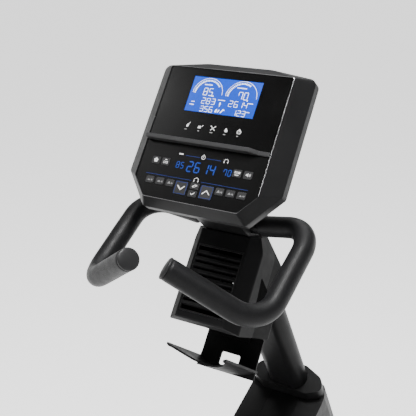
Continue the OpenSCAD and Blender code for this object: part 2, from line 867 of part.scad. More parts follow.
// Side outline of the shroud, shrunk by its wall for the inside
module shroud_side(i) {
  polygon(rounded([[460 - i, 590, 0], [520 - i, 482, 160], [574 - i, 370, 120],
    [598 - i, 225, 60], [598 - i, shroud_low + (i > 0 ? -6 : 0), i > 0 ? 0 : 20],
    [-300 + i, shroud_low + (i > 0 ? -6 : 0), 30], [-448 + i, 200, 90], [-452 + i, 420, 40],
    [-486 + i, 568 - i, 10], [-395 - i, 568 - i, 10], [-352 - i, 440 - i, 40],
    [-20, 436 - i, 200], [140, 462 - i, 200], [seam_y, seam_z - i, 0],
    [395, 590 - i, 0]], 6));
}

// Plan outline: widest around the mast, narrow at the cranks
module shroud_plan(i) {
  polygon(rounded(mirrored([[52 - i, 612 - i, 40], [96 - i, 520, 90], [97 - i, 250, 200],
    [76 - i, -220, 200], [74 - i, -460, 0], [60 - i, -500, 0]]), 6));
}

module shroud_block(i) {
  intersection() {
    on_mast() translate([0, 0, -800]) linear_extrude(1000)
      polygon(rounded(mirrored([[44 - i, 42 - i, 24], [86 - i, 18 - i, 26], [97 - i, -15, 26],
        [97 - i, -1200, 0]]), 6));
    side_profile(-120, 120) shroud_side(i);
    translate([0, 0, 50]) linear_extrude(700) shroud_plan(i);
    union() {
      translate([-150, -430 + 85, 0]) cube([300, 1100, 800]);
      translate([-150, -520, 0]) cube([300, 300, 440]);
      translate([-38 + i, -520, 0]) cube([76 - 2 * i, 300, 800]);
    }
  }
}

// A rounded crown around the mast's foot; its top is cut so that it falls towards the rider
module collar_block(i) {
  crown = [0, 388, 628];
  intersection() {
    on_mast() translate([0, 0, -120]) linear_extrude(180)
      polygon(rounded(mirrored([[38, 35 - i, 16], [84 - i, 15 - i, 26], [97 - i, -15, 14],
        [60, -32.5 + i, 10]]), 6));
    translate(crown) rotate([40, 0, 0]) translate([-150, -200, -300 - i]) cube([300, 400, 300]);
    translate([-150, 300, seam_z - 30 - i]) cube([300, 250, 300]);
  }
}

module shroud_shell() {
  difference() {
    union() {
      shroud_block(0);
      collar_block(0);
    }
    shroud_block(wall);
    collar_block(wall);
    on_mast() translate([0, 0, -160]) linear_extrude(400) stadium(mast_w + 1.6, mast_d + 1.6);
    x_cylinder(-150, 150, crank_y, crank_z, 30);
    on_seat() translate([0, 0, -500]) linear_extrude(400)
      rounded_rect(post_w + 15, post_d + 15, 12);
    translate([0, inlet_y - 20, inlet_z]) rotate([-90, 0, 0]) cylinder(h = 60, r = 6);
    on_seat() translate([0, 0, pin_s]) rotate([0, 90, 0]) cylinder(h = 60, r = 7.5);
    translate([-spine_w / 2 - 0.6, -700, 0]) cube([spine_w + 1.2, 1400, spine_top + 0.6]);
    translate([-11, front_bar_y, 0]) cube([22, 50, spine_top + 8]);
  }
}

// Everything in front of the seam
module ahead_of_seam(gap) {
  translate([0, seam_y + gap, seam_z]) rotate([seam_lean, 0, 0]) {
    translate([-200, 0, -600]) cube([400, 500, 600.1]);
    translate([-200, -60, 0]) cube([400, 500, 300]);
  }
}

module strip_band(grow) {
  hw = strip_hw + grow;
  translate([-hw, -335, 400]) cube([2 * hw, 1000, 300]);
}

module shroud_front_cover() {
  color([0.33, 0.33, 0.34]) intersection() {
    shroud_shell();
    ahead_of_seam(0.2);
  }
}

module shroud_top_strip() {
  color([0.2, 0.2, 0.21]) difference() {
    intersection() {
      shroud_shell();
      strip_band(-0.15);
    }
    ahead_of_seam(-0.2);
  }
}

module shroud_half() {
  difference() {
    intersection() {
      shroud_shell();
      translate([0.1, -700, 0]) cube([200, 1400, 800]);
    }
    strip_band(0.15);
    ahead_of_seam(-0.2);
  }
}

module shroud_right() {
  color([0.27, 0.27, 0.28]) shroud_half();
}

module shroud_left() {
  color([0.27, 0.27, 0.28]) mirror([1, 0, 0]) shroud_half();
}

// ---------------------------------------------------------------- drive

module at_crank() {
  translate([0, crank_y, crank_z]) rotate([-crank_angle, 0, 0]) children();
}

module crank_axle() {
  color([0.7, 0.7, 0.72]) difference() {
    x_cylinder(-arm_in - arm_t, arm_in + arm_t, crank_y, crank_z, 10);
  }
}

module crank_arm() {
  difference() {
    union() {
      hull() {
        x_cylinder(arm_in, arm_in + arm_t, 0, 0, 19);
        x_cylinder(arm_in + 2, arm_in + arm_t - 1, crank_r, 0, 14);
      }
      x_cylinder(arm_in - 5, arm_in + arm_t + 4, 0, 0, 21);
    }
    x_cylinder(arm_in - 10, arm_in + arm_t + 0.1, 0, 0, 10.02);
  }
  x_cylinder(arm_in + arm_t - 2, pedal_in + pedal_w - 12, crank_r, 0, spindle_r);
}

module crank_arms() {
  color([0.75, 0.75, 0.77]) at_crank() {
    crank_arm();
    rotate([180, 0, 0]) mirror([1, 0, 0]) crank_arm();
  }
}

module drive_pulley() {
  color([0.13, 0.13, 0.14]) difference() {
    union() {
      x_cylinder(belt_x, belt_x + belt_w, crank_y, crank_z, pulley_r);
      x_cylinder(belt_x - 4, belt_x, crank_y, crank_z, pulley_r + 4);
      x_cylinder(belt_x + belt_w, belt_x + belt_w + 4, crank_y, crank_z, pulley_r + 4);
      x_cylinder(belt_x - 6, belt_x + belt_w + 12, crank_y, crank_z, 24);
    }
    x_cylinder(0, 100, crank_y, crank_z, 10.02);
    for (i = [0:4]) translate([0, crank_y, crank_z]) rotate([i * 72, 0, 0])
      x_cylinder(0, 100, 64, 0, 27);
  }
}

module bearings() {
  color([0.8, 0.8, 0.82]) {
    for (x = [-34, 22]) ball_bearing(x, 12, crank_y, crank_z, 10.05, 21);
    for (x = [-16, 44]) ball_bearing(x, 8, fly_y, fly_z, 6.02, 14);
  }
}

module ball_bearing(x, t, y, z, bore, r) {
  difference() {
    x_cylinder(x, x + t, y, z, r);
    x_cylinder(x - 1, x + t + 1, y, z, bore);
    difference() {
      x_cylinder(x - 1, x + 1, y, z, r - 2.5);
      x_cylinder(x - 2, x + 2, y, z, bore + 2.5);
    }
  }
}

module flywheel() {
  color([0.42, 0.42, 0.43]) difference() {
    translate([0, fly_y, fly_z]) rotate([0, 90, 0]) rotate_extrude($fn = 96)
      polygon([[14.4, -24], [26, -24], [26, -6], [88, -6], [88, -13], [flywheel_r, -13],
        [flywheel_r, 13], [88, 13], [88, 6], [26, 6], [26, 24], [14.4, 24]]);
    for (i = [0:5]) translate([0, fly_y, fly_z]) rotate([i * 60, 0, 0])
      x_cylinder(-30, 30, 57, 0, 17);
  }
}

// Belt pulley beside the flywheel's hub; it turns with it
module flywheel_pulley() {
  low = belt_x;
  high = belt_x + belt_w;
  r = flywheel_pulley_r;
  color([0.6, 0.6, 0.62]) translate([0, fly_y, fly_z]) rotate([0, 90, 0]) rotate_extrude($fn = 96)
    polygon([[14.4, 24.1], [20.5, 24.1], [20.5, low - 3], [r + 3, low - 3], [r + 3, low], [r, low],
      [r, high], [r + 3, high], [r + 3, high + 3], [14.4, high + 3]]);
}

module flywheel_axle() {
  color([0.7, 0.7, 0.72]) {
    x_cylinder(fork_x[0] - fork_t - 14, fork_x[1] + fork_t + 14, fly_y, fly_z, 6);
    for (x = [fork_x[0] - fork_t - 8, fork_x[1] + fork_t + 0.2])
      difference() {
        translate([x, fly_y, fly_z]) rotate([0, 90, 0]) cylinder(h = 7.8, r = 11, $fn = 6);
        x_cylinder(x - 1, x + 10, fly_y, fly_z, 5.9);
      }
  }
}

module belt_loop(grow) {
  hull() {
    translate([crank_y, crank_z]) circle(r = pulley_r + grow);
    translate([fly_y, fly_z]) circle(r = flywheel_pulley_r + grow);
  }
}

module drive_belt() {
  color([0.06, 0.06, 0.06]) side_profile(belt_x + 0.5, belt_x + belt_w - 0.5) difference() {
    belt_loop(3.2);
    belt_loop(0.4);
  }
}

// A yoke that swings the magnets towards the flywheel's rim
module magnet_bracket() {
  rim = flywheel_r + 8;
  color([0.3, 0.3, 0.31]) difference() {
    union() {
      for (x = [-25, 21]) side_profile(x, x + 4) intersection() {
        translate([fly_y, fly_z]) difference() {
          circle(r = rim + 8);
          circle(r = 92);
        }
        translate([fly_y, fly_z]) polygon([[0, 0], [170, 22], [170, 90], [76, 170], [34, 170]]);
      }
      side_profile(-25, 25) intersection() {
        translate([fly_y, fly_z]) difference() {
          circle(r = rim + 8);
          circle(r = rim + 3);
        }
        translate([fly_y, fly_z]) polygon([[0, 0], [170, 22], [170, 90], [76, 170], [34, 170]]);
      }
      x_cylinder(-45.5, 65.5, pivot_y, pivot_z, 8);
      side_profile(-25, 25) polygon([[pivot_y - 6, pivot_z], [pivot_y + 6, pivot_z],
        [fly_y + 64, fly_z + 120], [fly_y + 50, fly_z + 123]]);
      for (a = [18, 40, 62], x = [-21, 17])
        x_cylinder(x, x + 4, fly_y + 106 * cos(a), fly_z + 106 * sin(a), 9);
    }
    x_cylinder(-80, 80, pivot_y, pivot_z, 4.05);
  }
}

module brake_motor() {
  color([0.15, 0.15, 0.16]) {
    translate([-22, 40, spine_top + 0.1]) cube([44, 62, 34]);
    x_cylinder(22, 34, 71, spine_top + 18, 11);
  }
}

// A platform pedal with a bore for its spindle and a strap over the foot
module pedal_body() {
  half_l = pedal_l / 2;
  difference() {
    union() {
      difference() {
        translate([pedal_in, 0, 0]) side_profile(0, pedal_w)
          polygon(rounded([[half_l, 9, 6], [-half_l, 9, 6], [-half_l + 6, -13, 6],
            [half_l - 6, -13, 6]], 4));
        for (side = [-1, 1], i = [0:2])
          translate([pedal_in + 8 + i * 26, side > 0 ? 14 : -half_l + 8, -20])
            cube([20, half_l - 22, 24]);
      }
      strap();
    }
    x_cylinder(pedal_in - 5, pedal_in + pedal_w - 10, 0, 0, spindle_r + 0.06);
  }
}

module strap() {
  mid = pedal_in + pedal_w / 2;
  hw = pedal_w / 2 + 3;
  rise = 62;
  arch = [for (i = [0:20]) [hw * cos(i * 9), 4 + rise * sin(i * 9)]];
  inner = [for (i = [20:-1:0]) [(hw - 3) * cos(i * 9), 4 + (rise - 3) * sin(i * 9)]];
  translate([mid, 18, 0]) rotate([90, 0, 0]) linear_extrude(34)
    polygon(concat([[hw, -8]], arch, [[-hw, -8], [-hw + 3, -8]], inner, [[hw - 3, -8]]));
}

module pedal_right() {
  color([0.1, 0.1, 0.11])
    translate([0, crank_y + crank_r * cos(crank_angle), crank_z - crank_r * sin(crank_angle)])
      pedal_body();
}

module pedal_left() {
  color([0.1, 0.1, 0.11]) mirror([1, 0, 0])
    translate([0, crank_y - crank_r * cos(crank_angle), crank_z + crank_r * sin(crank_angle)])
      pedal_body();
}

// ---------------------------------------------------------------- seat

module post_section(grow) {
  rounded_rect(post_w + 2 * grow, post_d + 2 * grow, 9 + grow);
}

module seat_sleeve() {
  color([0.08, 0.08, 0.08]) on_seat() difference() {
    union() {
      translate([0, 0, tube_top - 180]) linear_extrude(182) post_section(post_gap + sleeve_t - 0.05);
      translate([0, 0, tube_top + 0.1]) linear_extrude(14) post_section(9);
    }
    translate([0, 0, tube_top - 200]) linear_extrude(260) post_section(post_gap);
    translate([0, 0, pin_s]) rotate([0, 90, 0]) cylinder(h = 60, r = 6);
  }
}

hole_pitch = 25;

module seat_post() {
  color([0.72, 0.72, 0.74]) on_seat() {
    difference() {
      translate([0, 0, post_low]) linear_extrude(-post_low) post_section(0);
      translate([0, 0, post_low - 1]) linear_extrude(-post_low - 5) post_section(-3);
      for (i = [-4:4]) translate([0, 0, pin_s + i * hole_pitch]) rotate([0, 90, 0])
        cylinder(h = 60, r = 5.4);
      rotate([-seat_lean, 0, 0]) translate([-60, -60, -4]) cube([120, 120, 60]);
    }
  }
  color([0.72, 0.72, 0.74]) translate([-45, seat_y - 50, seat_z - 12]) cube([90, 100, 8]);
}

// Spring-loaded pin with a knob; it pulls out to the right to free the post
module seat_pin() {
  color([0.1, 0.1, 0.1]) on_seat() translate([0, 0, pin_s]) rotate([0, 90, 0]) {
    translate([0, 0, post_w / 2 + 0.3]) cylinder(h = 30, r = 5);
    translate([0, 0, 48]) cylinder(h = 6, r = 9);
    translate([0, 0, 54]) rotate_extrude()
      polygon(rounded([[0, 0, 0], [12, 0, 2], [21, 8, 4], [21, 24, 6], [0, 27, 0]], 4));
  }
}

module saddle_shell() {
  color([0.09, 0.09, 0.09]) difference() {
    translate([0, 0, seat_z - 3.8]) linear_extrude(14) saddle_outline(-8);
    translate([-60, seat_y - 60, seat_z + 4]) cube([120, 120, 10]);
  }
}

module saddle_outline(grow) {
  rear = saddle_rear - grow;
  nose = saddle_rear + saddle_l + grow;
  hw = saddle_w / 2 + grow;
  polygon(rounded(mirrored([[hw * 0.5, rear, 40], [hw, rear + 34, 46], [hw * 0.92, rear + 120, 50],
    [34 + grow, nose - 80, 90], [27 + grow, nose, (27 + grow) * 0.8]]), 8));
}

module saddle_cushion() {
  base = seat_z + 10.6;
  color([0.07, 0.07, 0.07]) hull() {
    translate([0, 0, base]) linear_extrude(30) saddle_outline(0);
    translate([0, 0, base + 30]) linear_extrude(18) saddle_outline(-7);
    translate([0, 0, base + 48]) linear_extrude(14) saddle_outline(-20);
  }
}

// ---------------------------------------------------------------- output

main_frame();
front_stabilizer();
rear_stabilizer();
stabilizer_end_caps();
frame_bolts();
rear_leveler_left();
rear_leveler_right();
transport_wheel_left();
transport_wheel_right();
power_inlet();
mast_tube();
handlebar();
foam_grips();
grip_end_caps();
handlebar_clamp();
fan_housing_front();
fan_grille();
fan_housing_rear();
fan_motor();
fan_impeller();
bottle_holder();
console_neck();
console_back_case();
console_bezel();
display_panel();
control_panel();
media_shelf();
lcd_screen();
circuit_board();
fan_key();
wireless_key();
display_key();
volume_key();
quick_keys_left();
quick_keys_right();
down_key();
up_key();
start_key();
stop_key();
shroud_left();
shroud_right();
shroud_top_strip();
shroud_front_cover();
crank_axle();
crank_arms();
drive_pulley();
pedal_left();
pedal_right();
flywheel();
flywheel_pulley();
flywheel_axle();
drive_belt();
bearings();
magnet_bracket();
brake_motor();
seat_sleeve();
seat_post();
seat_pin();
saddle_shell();
saddle_cushion();
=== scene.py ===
"""The looks of an upright exercise bike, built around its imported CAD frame."""
import math

import bmesh
import bpy
from mathutils import Matrix, Vector, noise


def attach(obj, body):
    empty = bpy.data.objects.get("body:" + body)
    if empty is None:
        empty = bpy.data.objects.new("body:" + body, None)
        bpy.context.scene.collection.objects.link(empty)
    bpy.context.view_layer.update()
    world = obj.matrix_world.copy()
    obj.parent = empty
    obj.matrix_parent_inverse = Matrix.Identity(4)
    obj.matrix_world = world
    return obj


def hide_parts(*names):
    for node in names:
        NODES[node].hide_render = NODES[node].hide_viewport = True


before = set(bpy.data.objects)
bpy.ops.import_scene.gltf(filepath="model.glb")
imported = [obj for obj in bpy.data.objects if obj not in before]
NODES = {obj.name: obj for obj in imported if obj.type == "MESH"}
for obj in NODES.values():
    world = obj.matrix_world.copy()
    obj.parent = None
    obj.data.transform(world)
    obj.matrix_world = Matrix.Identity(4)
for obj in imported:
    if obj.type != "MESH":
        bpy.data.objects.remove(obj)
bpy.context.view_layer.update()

MM = 0.001
TILT = math.radians(35.4)                 # lean of the display panel from vertical
PANEL = Matrix(((1, 0, 0, 0),
                (0, math.sin(TILT), -math.cos(TILT), 0.070),
                (0, math.cos(TILT), math.sin(TILT), 1.420),
                (0, 0, 0, 1)))


# ------------------------------------------------------------------ materials

class Shader:
    """A Principled material with helpers for procedural detail. Lengths are in metres."""

    def __init__(self, name, color, rough, **sockets):
        self.m = bpy.data.materials.new(name)
        self.m.use_nodes = True
        self.nt = self.m.node_tree
        self.b = self.nt.nodes["Principled BSDF"]
        self.color = color
        self.rough = rough
        self.b.inputs["Base Color"].default_value = (*color, 1)
        self.b.inputs["Roughness"].default_value = rough
        for key, value in sockets.items():
            self.b.inputs[key.replace("_", " ")].default_value = value
        self.coord = self.nt.nodes.new("ShaderNodeTexCoord").outputs["Object"]
        self.height = None

    def node(self, kind, **values):
        n = self.nt.nodes.new(kind)
        for key, value in values.items():
            setattr(n, key, value)
        return n

    def link(self, a, b):
        self.nt.links.new(a, b)

    def scaled(self, scale):
        """Object coordinates, stretched by a vector."""
        n = self.node("ShaderNodeMapping")
        n.inputs["Scale"].default_value = scale
        self.link(self.coord, n.inputs["Vector"])
        return n.outputs["Vector"]

    def noise(self, scale, detail=3.0, roughness=0.5, stretch=None):
        n = self.node("ShaderNodeTexNoise")
        n.inputs["Scale"].default_value = scale
        n.inputs["Detail"].default_value = detail
        n.inputs["Roughness"].default_value = roughness
        self.link(self.scaled(stretch) if stretch else self.coord, n.inputs["Vector"])
        return n.outputs["Fac"]

    def cells(self, scale, feature="F1"):
        n = self.node("ShaderNodeTexVoronoi", feature=feature)
        n.inputs["Scale"].default_value = scale
        self.link(self.coord, n.inputs["Vector"])
        return n.outputs["Distance"]

    def ramp(self, source, low, high, a, b):
        """Turns a texture's low..high into the range a..b."""
        n = self.node("ShaderNodeMapRange")
        n.inputs["From Min"].default_value = low
        n.inputs["From Max"].default_value = high
        n.inputs["To Min"].default_value = a
        n.inputs["To Max"].default_value = b
        self.link(source, n.inputs["Value"])
        return n.outputs["Result"]

    def tint(self, source, low, high, a, b):
        """Colour from a (at low) to b (at high), as multiples of the base colour."""
        n = self.node("ShaderNodeMix", data_type="RGBA")
        n.inputs["A"].default_value = (*[c * a for c in self.color], 1)
        n.inputs["B"].default_value = (*[c * b for c in self.color], 1)
        self.link(self.ramp(source, low, high, 0, 1), n.inputs["Factor"])
        self.link(n.outputs["Result"], self.b.inputs["Base Color"])
        return self

    def speckle(self, source, low, high, color):
        """Blends another colour over whatever the base colour is, where source is high."""
        n = self.node("ShaderNodeMix", data_type="RGBA")
        socket = self.b.inputs["Base Color"]
        if socket.is_linked:
            self.link(socket.links[0].from_socket, n.inputs["A"])
        else:
            n.inputs["A"].default_value = (*self.color, 1)
        n.inputs["B"].default_value = (*color, 1)
        self.link(self.ramp(source, low, high, 0, 1), n.inputs["Factor"])
        self.link(n.outputs["Result"], socket)
        return self

    def gloss(self, source, low, high, spread):
        self.link(self.ramp(source, low, high, self.rough - spread, self.rough + spread),
                  self.b.inputs["Roughness"])
        return self

    def bump(self, source, distance, strength=1.0):
        n = self.node("ShaderNodeBump")
        n.inputs["Strength"].default_value = strength
        n.inputs["Distance"].default_value = distance
        self.link(source, n.inputs["Height"])
        if self.height:
            self.link(self.height, n.inputs["Normal"])
        self.height = n.outputs["Normal"]
        self.link(self.height, self.b.inputs["Normal"])
        return self


def moulded(name, level, rough, grain=1300, depth=0.00006, spec=0.16):
    """Black or grey moulded plastic with a fine spark-eroded grain and faint handling marks."""
    s = Shader(name, (level, level, level * 1.03), rough, Specular_IOR_Level=spec)
    s.tint(s.noise(14, 4), 0.3, 0.7, 0.86, 1.16)
    s.gloss(s.noise(55, 5, 0.6), 0.3, 0.7, 0.05)
    s.bump(s.noise(grain, 2, 0.6), depth, 0.6)
    s.bump(s.noise(9, 2), 0.0004, 0.12)
    return s.m


def scuffed(s, level, amount=0.62):
    """Fine pale scratches that run roughly along Y."""
    s.speckle(s.noise(420, 4, 0.7, (1.0, 0.05, 0.4)), amount, amount + 0.16, (level,) * 3)
    return s


def painted(name, level, rough, coat=0.15, spec=0.12):
    """Powder coat: orange-peel skin with small flecks."""
    s = Shader(name, (level, level, level * 1.04), rough, Specular_IOR_Level=spec,
               Coat_Weight=coat, Coat_Roughness=0.25, Coat_IOR=1.3)
    s.tint(s.noise(7, 3), 0.3, 0.7, 0.9, 1.12)
    s.gloss(s.noise(40, 4), 0.3, 0.7, 0.05)
    s.bump(s.noise(520, 2), 0.00012, 0.35)
    scuffed(s, level * 2.4, 0.68)
    return s.m


def metal(name, color, rough, stretch, depth=0.00003):
    """Turned or brushed metal: streaks across the stretched direction."""
    s = Shader(name, color, rough, Metallic=1.0)
    s.tint(s.noise(30, 4, 0.6, stretch), 0.3, 0.7, 0.82, 1.1)
    s.gloss(s.noise(90, 4, 0.6, stretch), 0.3, 0.7, 0.08)
    s.bump(s.noise(700, 3, 0.6, stretch), depth, 0.5)
    return s.m


def foam_rubber():
    s = Shader("foam_rubber", (0.0045, 0.0045, 0.0048), 0.44, Specular_IOR_Level=0.15)
    s.tint(s.noise(24, 4), 0.3, 0.7, 0.8, 1.25)
    s.speckle(s.cells(1500), 0.42, 0.62, (0.01, 0.01, 0.0105))
    s.gloss(s.noise(60, 4), 0.3, 0.7, 0.06)
    s.bump(s.cells(1700), 0.00016, 0.5)
    s.bump(s.noise(70, 3), 0.0003, 0.2)
    return s.m


def rubber(name, level=0.012, rough=0.7):
    s = Shader(name, (level,) * 3, rough, Specular_IOR_Level=0.3)
    s.tint(s.noise(20, 4), 0.3, 0.7, 0.8, 1.3)
    s.speckle(s.noise(160, 5, 0.7), 0.62, 0.8, (0.05, 0.048, 0.045))
    s.bump(s.noise(900, 3), 0.00012, 0.6)
    return s.m


def synthetic_leather():
    s = Shader("synthetic_leather", (0.01, 0.01, 0.0105), 0.46, Specular_IOR_Level=0.28,
               Sheen_Weight=0.03)
    s.tint(s.noise(16, 4), 0.3, 0.7, 0.8, 1.25)
    s.gloss(s.noise(45, 4), 0.3, 0.7, 0.07)
    s.bump(s.cells(420, "SMOOTH_F1"), 0.0006, 0.55)
    s.bump(s.noise(1600, 2), 0.0001, 0.5)
    s.bump(s.noise(28, 3), 0.0012, 0.25)
    return s.m


def stretch_vinyl():
    """The saddle's side panels: a fine woven texture under a thin coat."""
    s = Shader("stretch_vinyl", (0.012, 0.012, 0.0125), 0.55, Specular_IOR_Level=0.25)
    for along in ((900, 0, 0), (0, 900, 0)):
        w = s.node("ShaderNodeTexWave")
        w.inputs["Scale"].default_value = 1.0
        w.inputs["Distortion"].default_value = 0.6
        n = s.node("ShaderNodeMapping")
        n.inputs["Scale"].default_value = (along[0], along[1], 260)
        s.link(s.coord, n.inputs["Vector"])
        s.link(n.outputs["Vector"], w.inputs["Vector"])
        s.bump(w.outputs["Fac"], 0.0002, 0.35)
    s.tint(s.noise(22, 4), 0.3, 0.7, 0.8, 1.2)
    return s.m


def glossy_panel(name, level, rough):
    """A back-printed acrylic sheet: smooth, with faint wipe marks."""
    s = Shader(name, (level,) * 3, rough, Specular_IOR_Level=0.15, Coat_Weight=0.15,
               Coat_Roughness=0.16, Coat_IOR=1.3)
    s.tint(s.noise(6, 2), 0.3, 0.7, 0.9, 1.1)
    s.gloss(s.noise(26, 4, 0.6, (1.0, 0.3, 1.0)), 0.3, 0.7, 0.03)
    s.bump(s.noise(4, 1), 0.0002, 0.1)
    return s.m


def backlit(name, color, glow):
    """The liquid-crystal window: a lit field with the faint grid of its diffuser."""
    s = Shader(name, tuple(c * 0.35 for c in color), 0.35, Specular_IOR_Level=0.3)
    grid = s.ramp(s.noise(260, 1), 0.3, 0.7, 0.0, 1.0)
    n = s.node("ShaderNodeMix", data_type="RGBA")
    n.inputs["A"].default_value = (*[c * 0.93 for c in color], 1)
    n.inputs["B"].default_value = (*[min(1, c * 1.07) for c in color], 1)
    s.link(grid, n.inputs["Factor"])
    s.link(n.outputs["Result"], s.b.inputs["Emission Color"])
    s.b.inputs["Emission Strength"].default_value = glow
    return s.m


def ink(name, color, glow=0.0, rough=0.5):
    """Screen print or lit segments, with a slightly uneven edge density. A glow on screen print is
    a painted glow, not light from a lamp.
    """
    s = Shader(name, color, rough, Specular_IOR_Level=0.3)
    s.tint(s.noise(900, 3), 0.3, 0.7, 0.92, 1.05)
    s.b.inputs["Emission Color"].default_value = (*color, 1)
    s.b.inputs["Emission Strength"].default_value = glow
    return s.m


def laminate():
    s = Shader("laminate", (0.02, 0.11, 0.05), 0.35)
    s.tint(s.noise(300, 2), 0.4, 0.6, 0.85, 1.1)
    s.speckle(s.noise(130, 0, 0.5, (1.0, 0.12, 0.12)), 0.6, 0.63, (0.05, 0.22, 0.09))
    s.bump(s.noise(500, 2), 0.0001, 0.4)
    return s.m


MAT = {
    "shell": moulded("shell_black", 0.006, 0.42, spec=0.12),
    # a darker, duller copy of the housing's black plastic for the housing's side
    # (fan_housing_rear): painted shade
    "shaded_side_shell": moulded("shaded_side_shell_black", 0.005, 0.5, spec=0.02),
    "housing": moulded("housing_black", 0.01, 0.5, spec=0.04),
    "cradle": moulded("cradle_black", 0.012, 0.45, spec=0.06),
    # near-black sheet for the fan housing's side recesses: painted shade
    "inlay": moulded("recess_shade_black", 0.002, 0.6, spec=0.004),
    "shroud": moulded("shroud_black", 0.007, 0.44, grain=900, depth=0.0001, spec=0.13),
    "strip": moulded("strip_black", 0.005, 0.36),
    "bezel": moulded("bezel_black", 0.011, 0.34, spec=0.06),
    "lip": metal("lip_satin", (0.2, 0.2, 0.205), 0.22, (1.0, 1.0, 1.0), 0.000005),
    "dark": moulded("dark_black", 0.004, 0.4),
    "case": moulded("case_black", 0.012, 0.46, spec=0.13),
    "shelf": moulded("shelf_black", 0.02, 0.42, spec=0.3),
    "grille": moulded("grille_black", 0.013, 0.38, spec=0.2),
    "tread": moulded("tread_black", 0.007, 0.6, grain=500, depth=0.0003),
    "key": moulded("key_grey", 0.024, 0.5, grain=1800),
    "mast": painted("mast_coat", 0.007, 0.36, 0.03, 0.05),
    "frame": painted("frame_coat", 0.0055, 0.4),
    "bar": painted("bar_coat", 0.006, 0.38, 0.08),
    "crank": painted("crank_coat", 0.03, 0.34, 0.3),
    "foam": foam_rubber(),
    "cap": moulded("cap_grey", 0.018, 0.42, grain=1500, spec=0.2),
    "rubber": rubber("wheel_rubber"),
    "belt": rubber("belt_rubber", 0.009, 0.6),
    "panel": glossy_panel("panel_gloss", 0.0014, 0.24),
    "panel_low": glossy_panel("panel_satin", 0.0016, 0.32),
    "lcd": backlit("lcd_blue", (0.001, 0.065, 0.62), 0.85),
    "lcd_ink": ink("lcd_white", (0.78, 0.86, 0.95), 0.75),
    "lcd_label": ink("lcd_pale", (0.62, 0.66, 0.86), 0.5),
    "led": ink("led_blue", (0.002, 0.03, 0.22), 0.36),
    # line, print and print_dim: printed lines and signs with emission, a painted glow
    "line": ink("line_blue_painted_glow", (0.004, 0.018, 0.12), 0.26),
    "print": ink("print_white_painted_glow", (0.62, 0.62, 0.62), 0.12),
    "print_dim": ink("print_grey_painted_glow", (0.2, 0.2, 0.2), 0.03),
    "board": laminate(),
    "steel": metal("zinc_steel", (0.62, 0.62, 0.64), 0.32, (1.0, 1.0, 0.1)),
    "turned": metal("turned_steel", (0.56, 0.56, 0.58), 0.28, (6.0, 0.6, 0.6)),
    "chrome": metal("chrome_steel", (0.28, 0.28, 0.29), 0.22, (1.0, 1.0, 0.2), 0.00001),
    "iron": metal("cast_iron", (0.2, 0.2, 0.21), 0.42, (2.0, 0.7, 0.7), 0.00008),
    "leather": synthetic_leather(),
    "vinyl": stretch_vinyl(),
    "thread": moulded("thread_grey", 0.05, 0.7, grain=3000),
}
amber = Shader("amber_prism", (0.5, 0.12, 0.01), 0.2, Coat_Weight=0.6)
amber.tint(amber.cells(300), 0.2, 0.7, 0.6, 1.3).bump(amber.cells(300), 0.0004, 0.8)
MAT["amber"] = amber.m

NODE_MATERIAL = {
    "main_frame": "frame", "front_stabilizer": "frame", "rear_stabilizer": "frame",
    "stabilizer_end_caps": "tread", "frame_bolts": "steel", "rear_leveler_left": "tread",
    "rear_leveler_right": "tread", "transport_wheel_left": "rubber",
    "transport_wheel_right": "rubber", "power_inlet": "dark", "mast_tube": "mast",
    "handlebar_clamp": "crank", "fan_housing_front": "housing", "fan_grille": "grille",
    "fan_housing_rear": "shaded_side_shell", "fan_motor": "steel", "fan_impeller": "dark",
    "bottle_holder": "cradle", "console_neck": "shell", "console_back_case": "case",
    "console_bezel": "bezel", "display_panel": "panel", "control_panel": "panel_low",
    "media_shelf": "shelf", "lcd_screen": "lcd", "circuit_board": "board",
    "shroud_left": "shroud", "shroud_right": "shroud", "shroud_top_strip": "strip",
    "shroud_front_cover": "shroud", "crank_axle": "turned", "crank_arms": "crank",
    "drive_pulley": "dark", "pedal_left": "tread", "pedal_right": "tread",
    "flywheel": "iron", "flywheel_pulley": "turned", "flywheel_axle": "turned",
    "drive_belt": "belt", "bearings": "turned", "magnet_bracket": "steel", "brake_motor": "dark",
    "seat_sleeve": "dark", "seat_post": "chrome", "seat_pin": "dark",
    "saddle_shell": "tread",
}
KEYS = [n for n in NODES if n.endswith("_key") or n.startswith("quick_keys")]
for key in KEYS:
    NODE_MATERIAL[key] = "key"

# Width of the rounded edges, in metres, for nodes whose edges show
EDGES = {
    "console_bezel": 0.0007, "console_back_case": 0.0016, "media_shelf": 0.0009,
    "fan_housing_front": 0.0012, "fan_housing_rear": 0.0012, "bottle_holder": 0.001,
    "fan_grille": 0.0005, "console_neck": 0.001, "shroud_left": 0.0007,
    "shroud_right": 0.0007, "shroud_top_strip": 0.0007, "shroud_front_cover": 0.0007,
    "crank_arms": 0.0015, "pedal_left": 0.0009, "pedal_right": 0.0009,
    "main_frame": 0.0012, "front_stabilizer": 0.0008, "rear_stabilizer": 0.0008,
    "stabilizer_end_caps": 0.002, "transport_wheel_left": 0.0006,
    "transport_wheel_right": 0.0006, "rear_leveler_left": 0.0012,
    "rear_leveler_right": 0.0012, "seat_sleeve": 0.001, "seat_post": 0.0008,
    "seat_pin": 0.0008, "saddle_shell": 0.0015, "handlebar_clamp": 0.001,
    "display_panel": 0.0003, "control_panel": 0.0003, "magnet_bracket": 0.0006,
    "brake_motor": 0.0015, "drive_pulley": 0.0008, "frame_bolts": 0.0006,
    "mast_tube": 0.0006, "power_inlet": 0.0005,
}
for key in KEYS:
    EDGES[key] = 0.0006


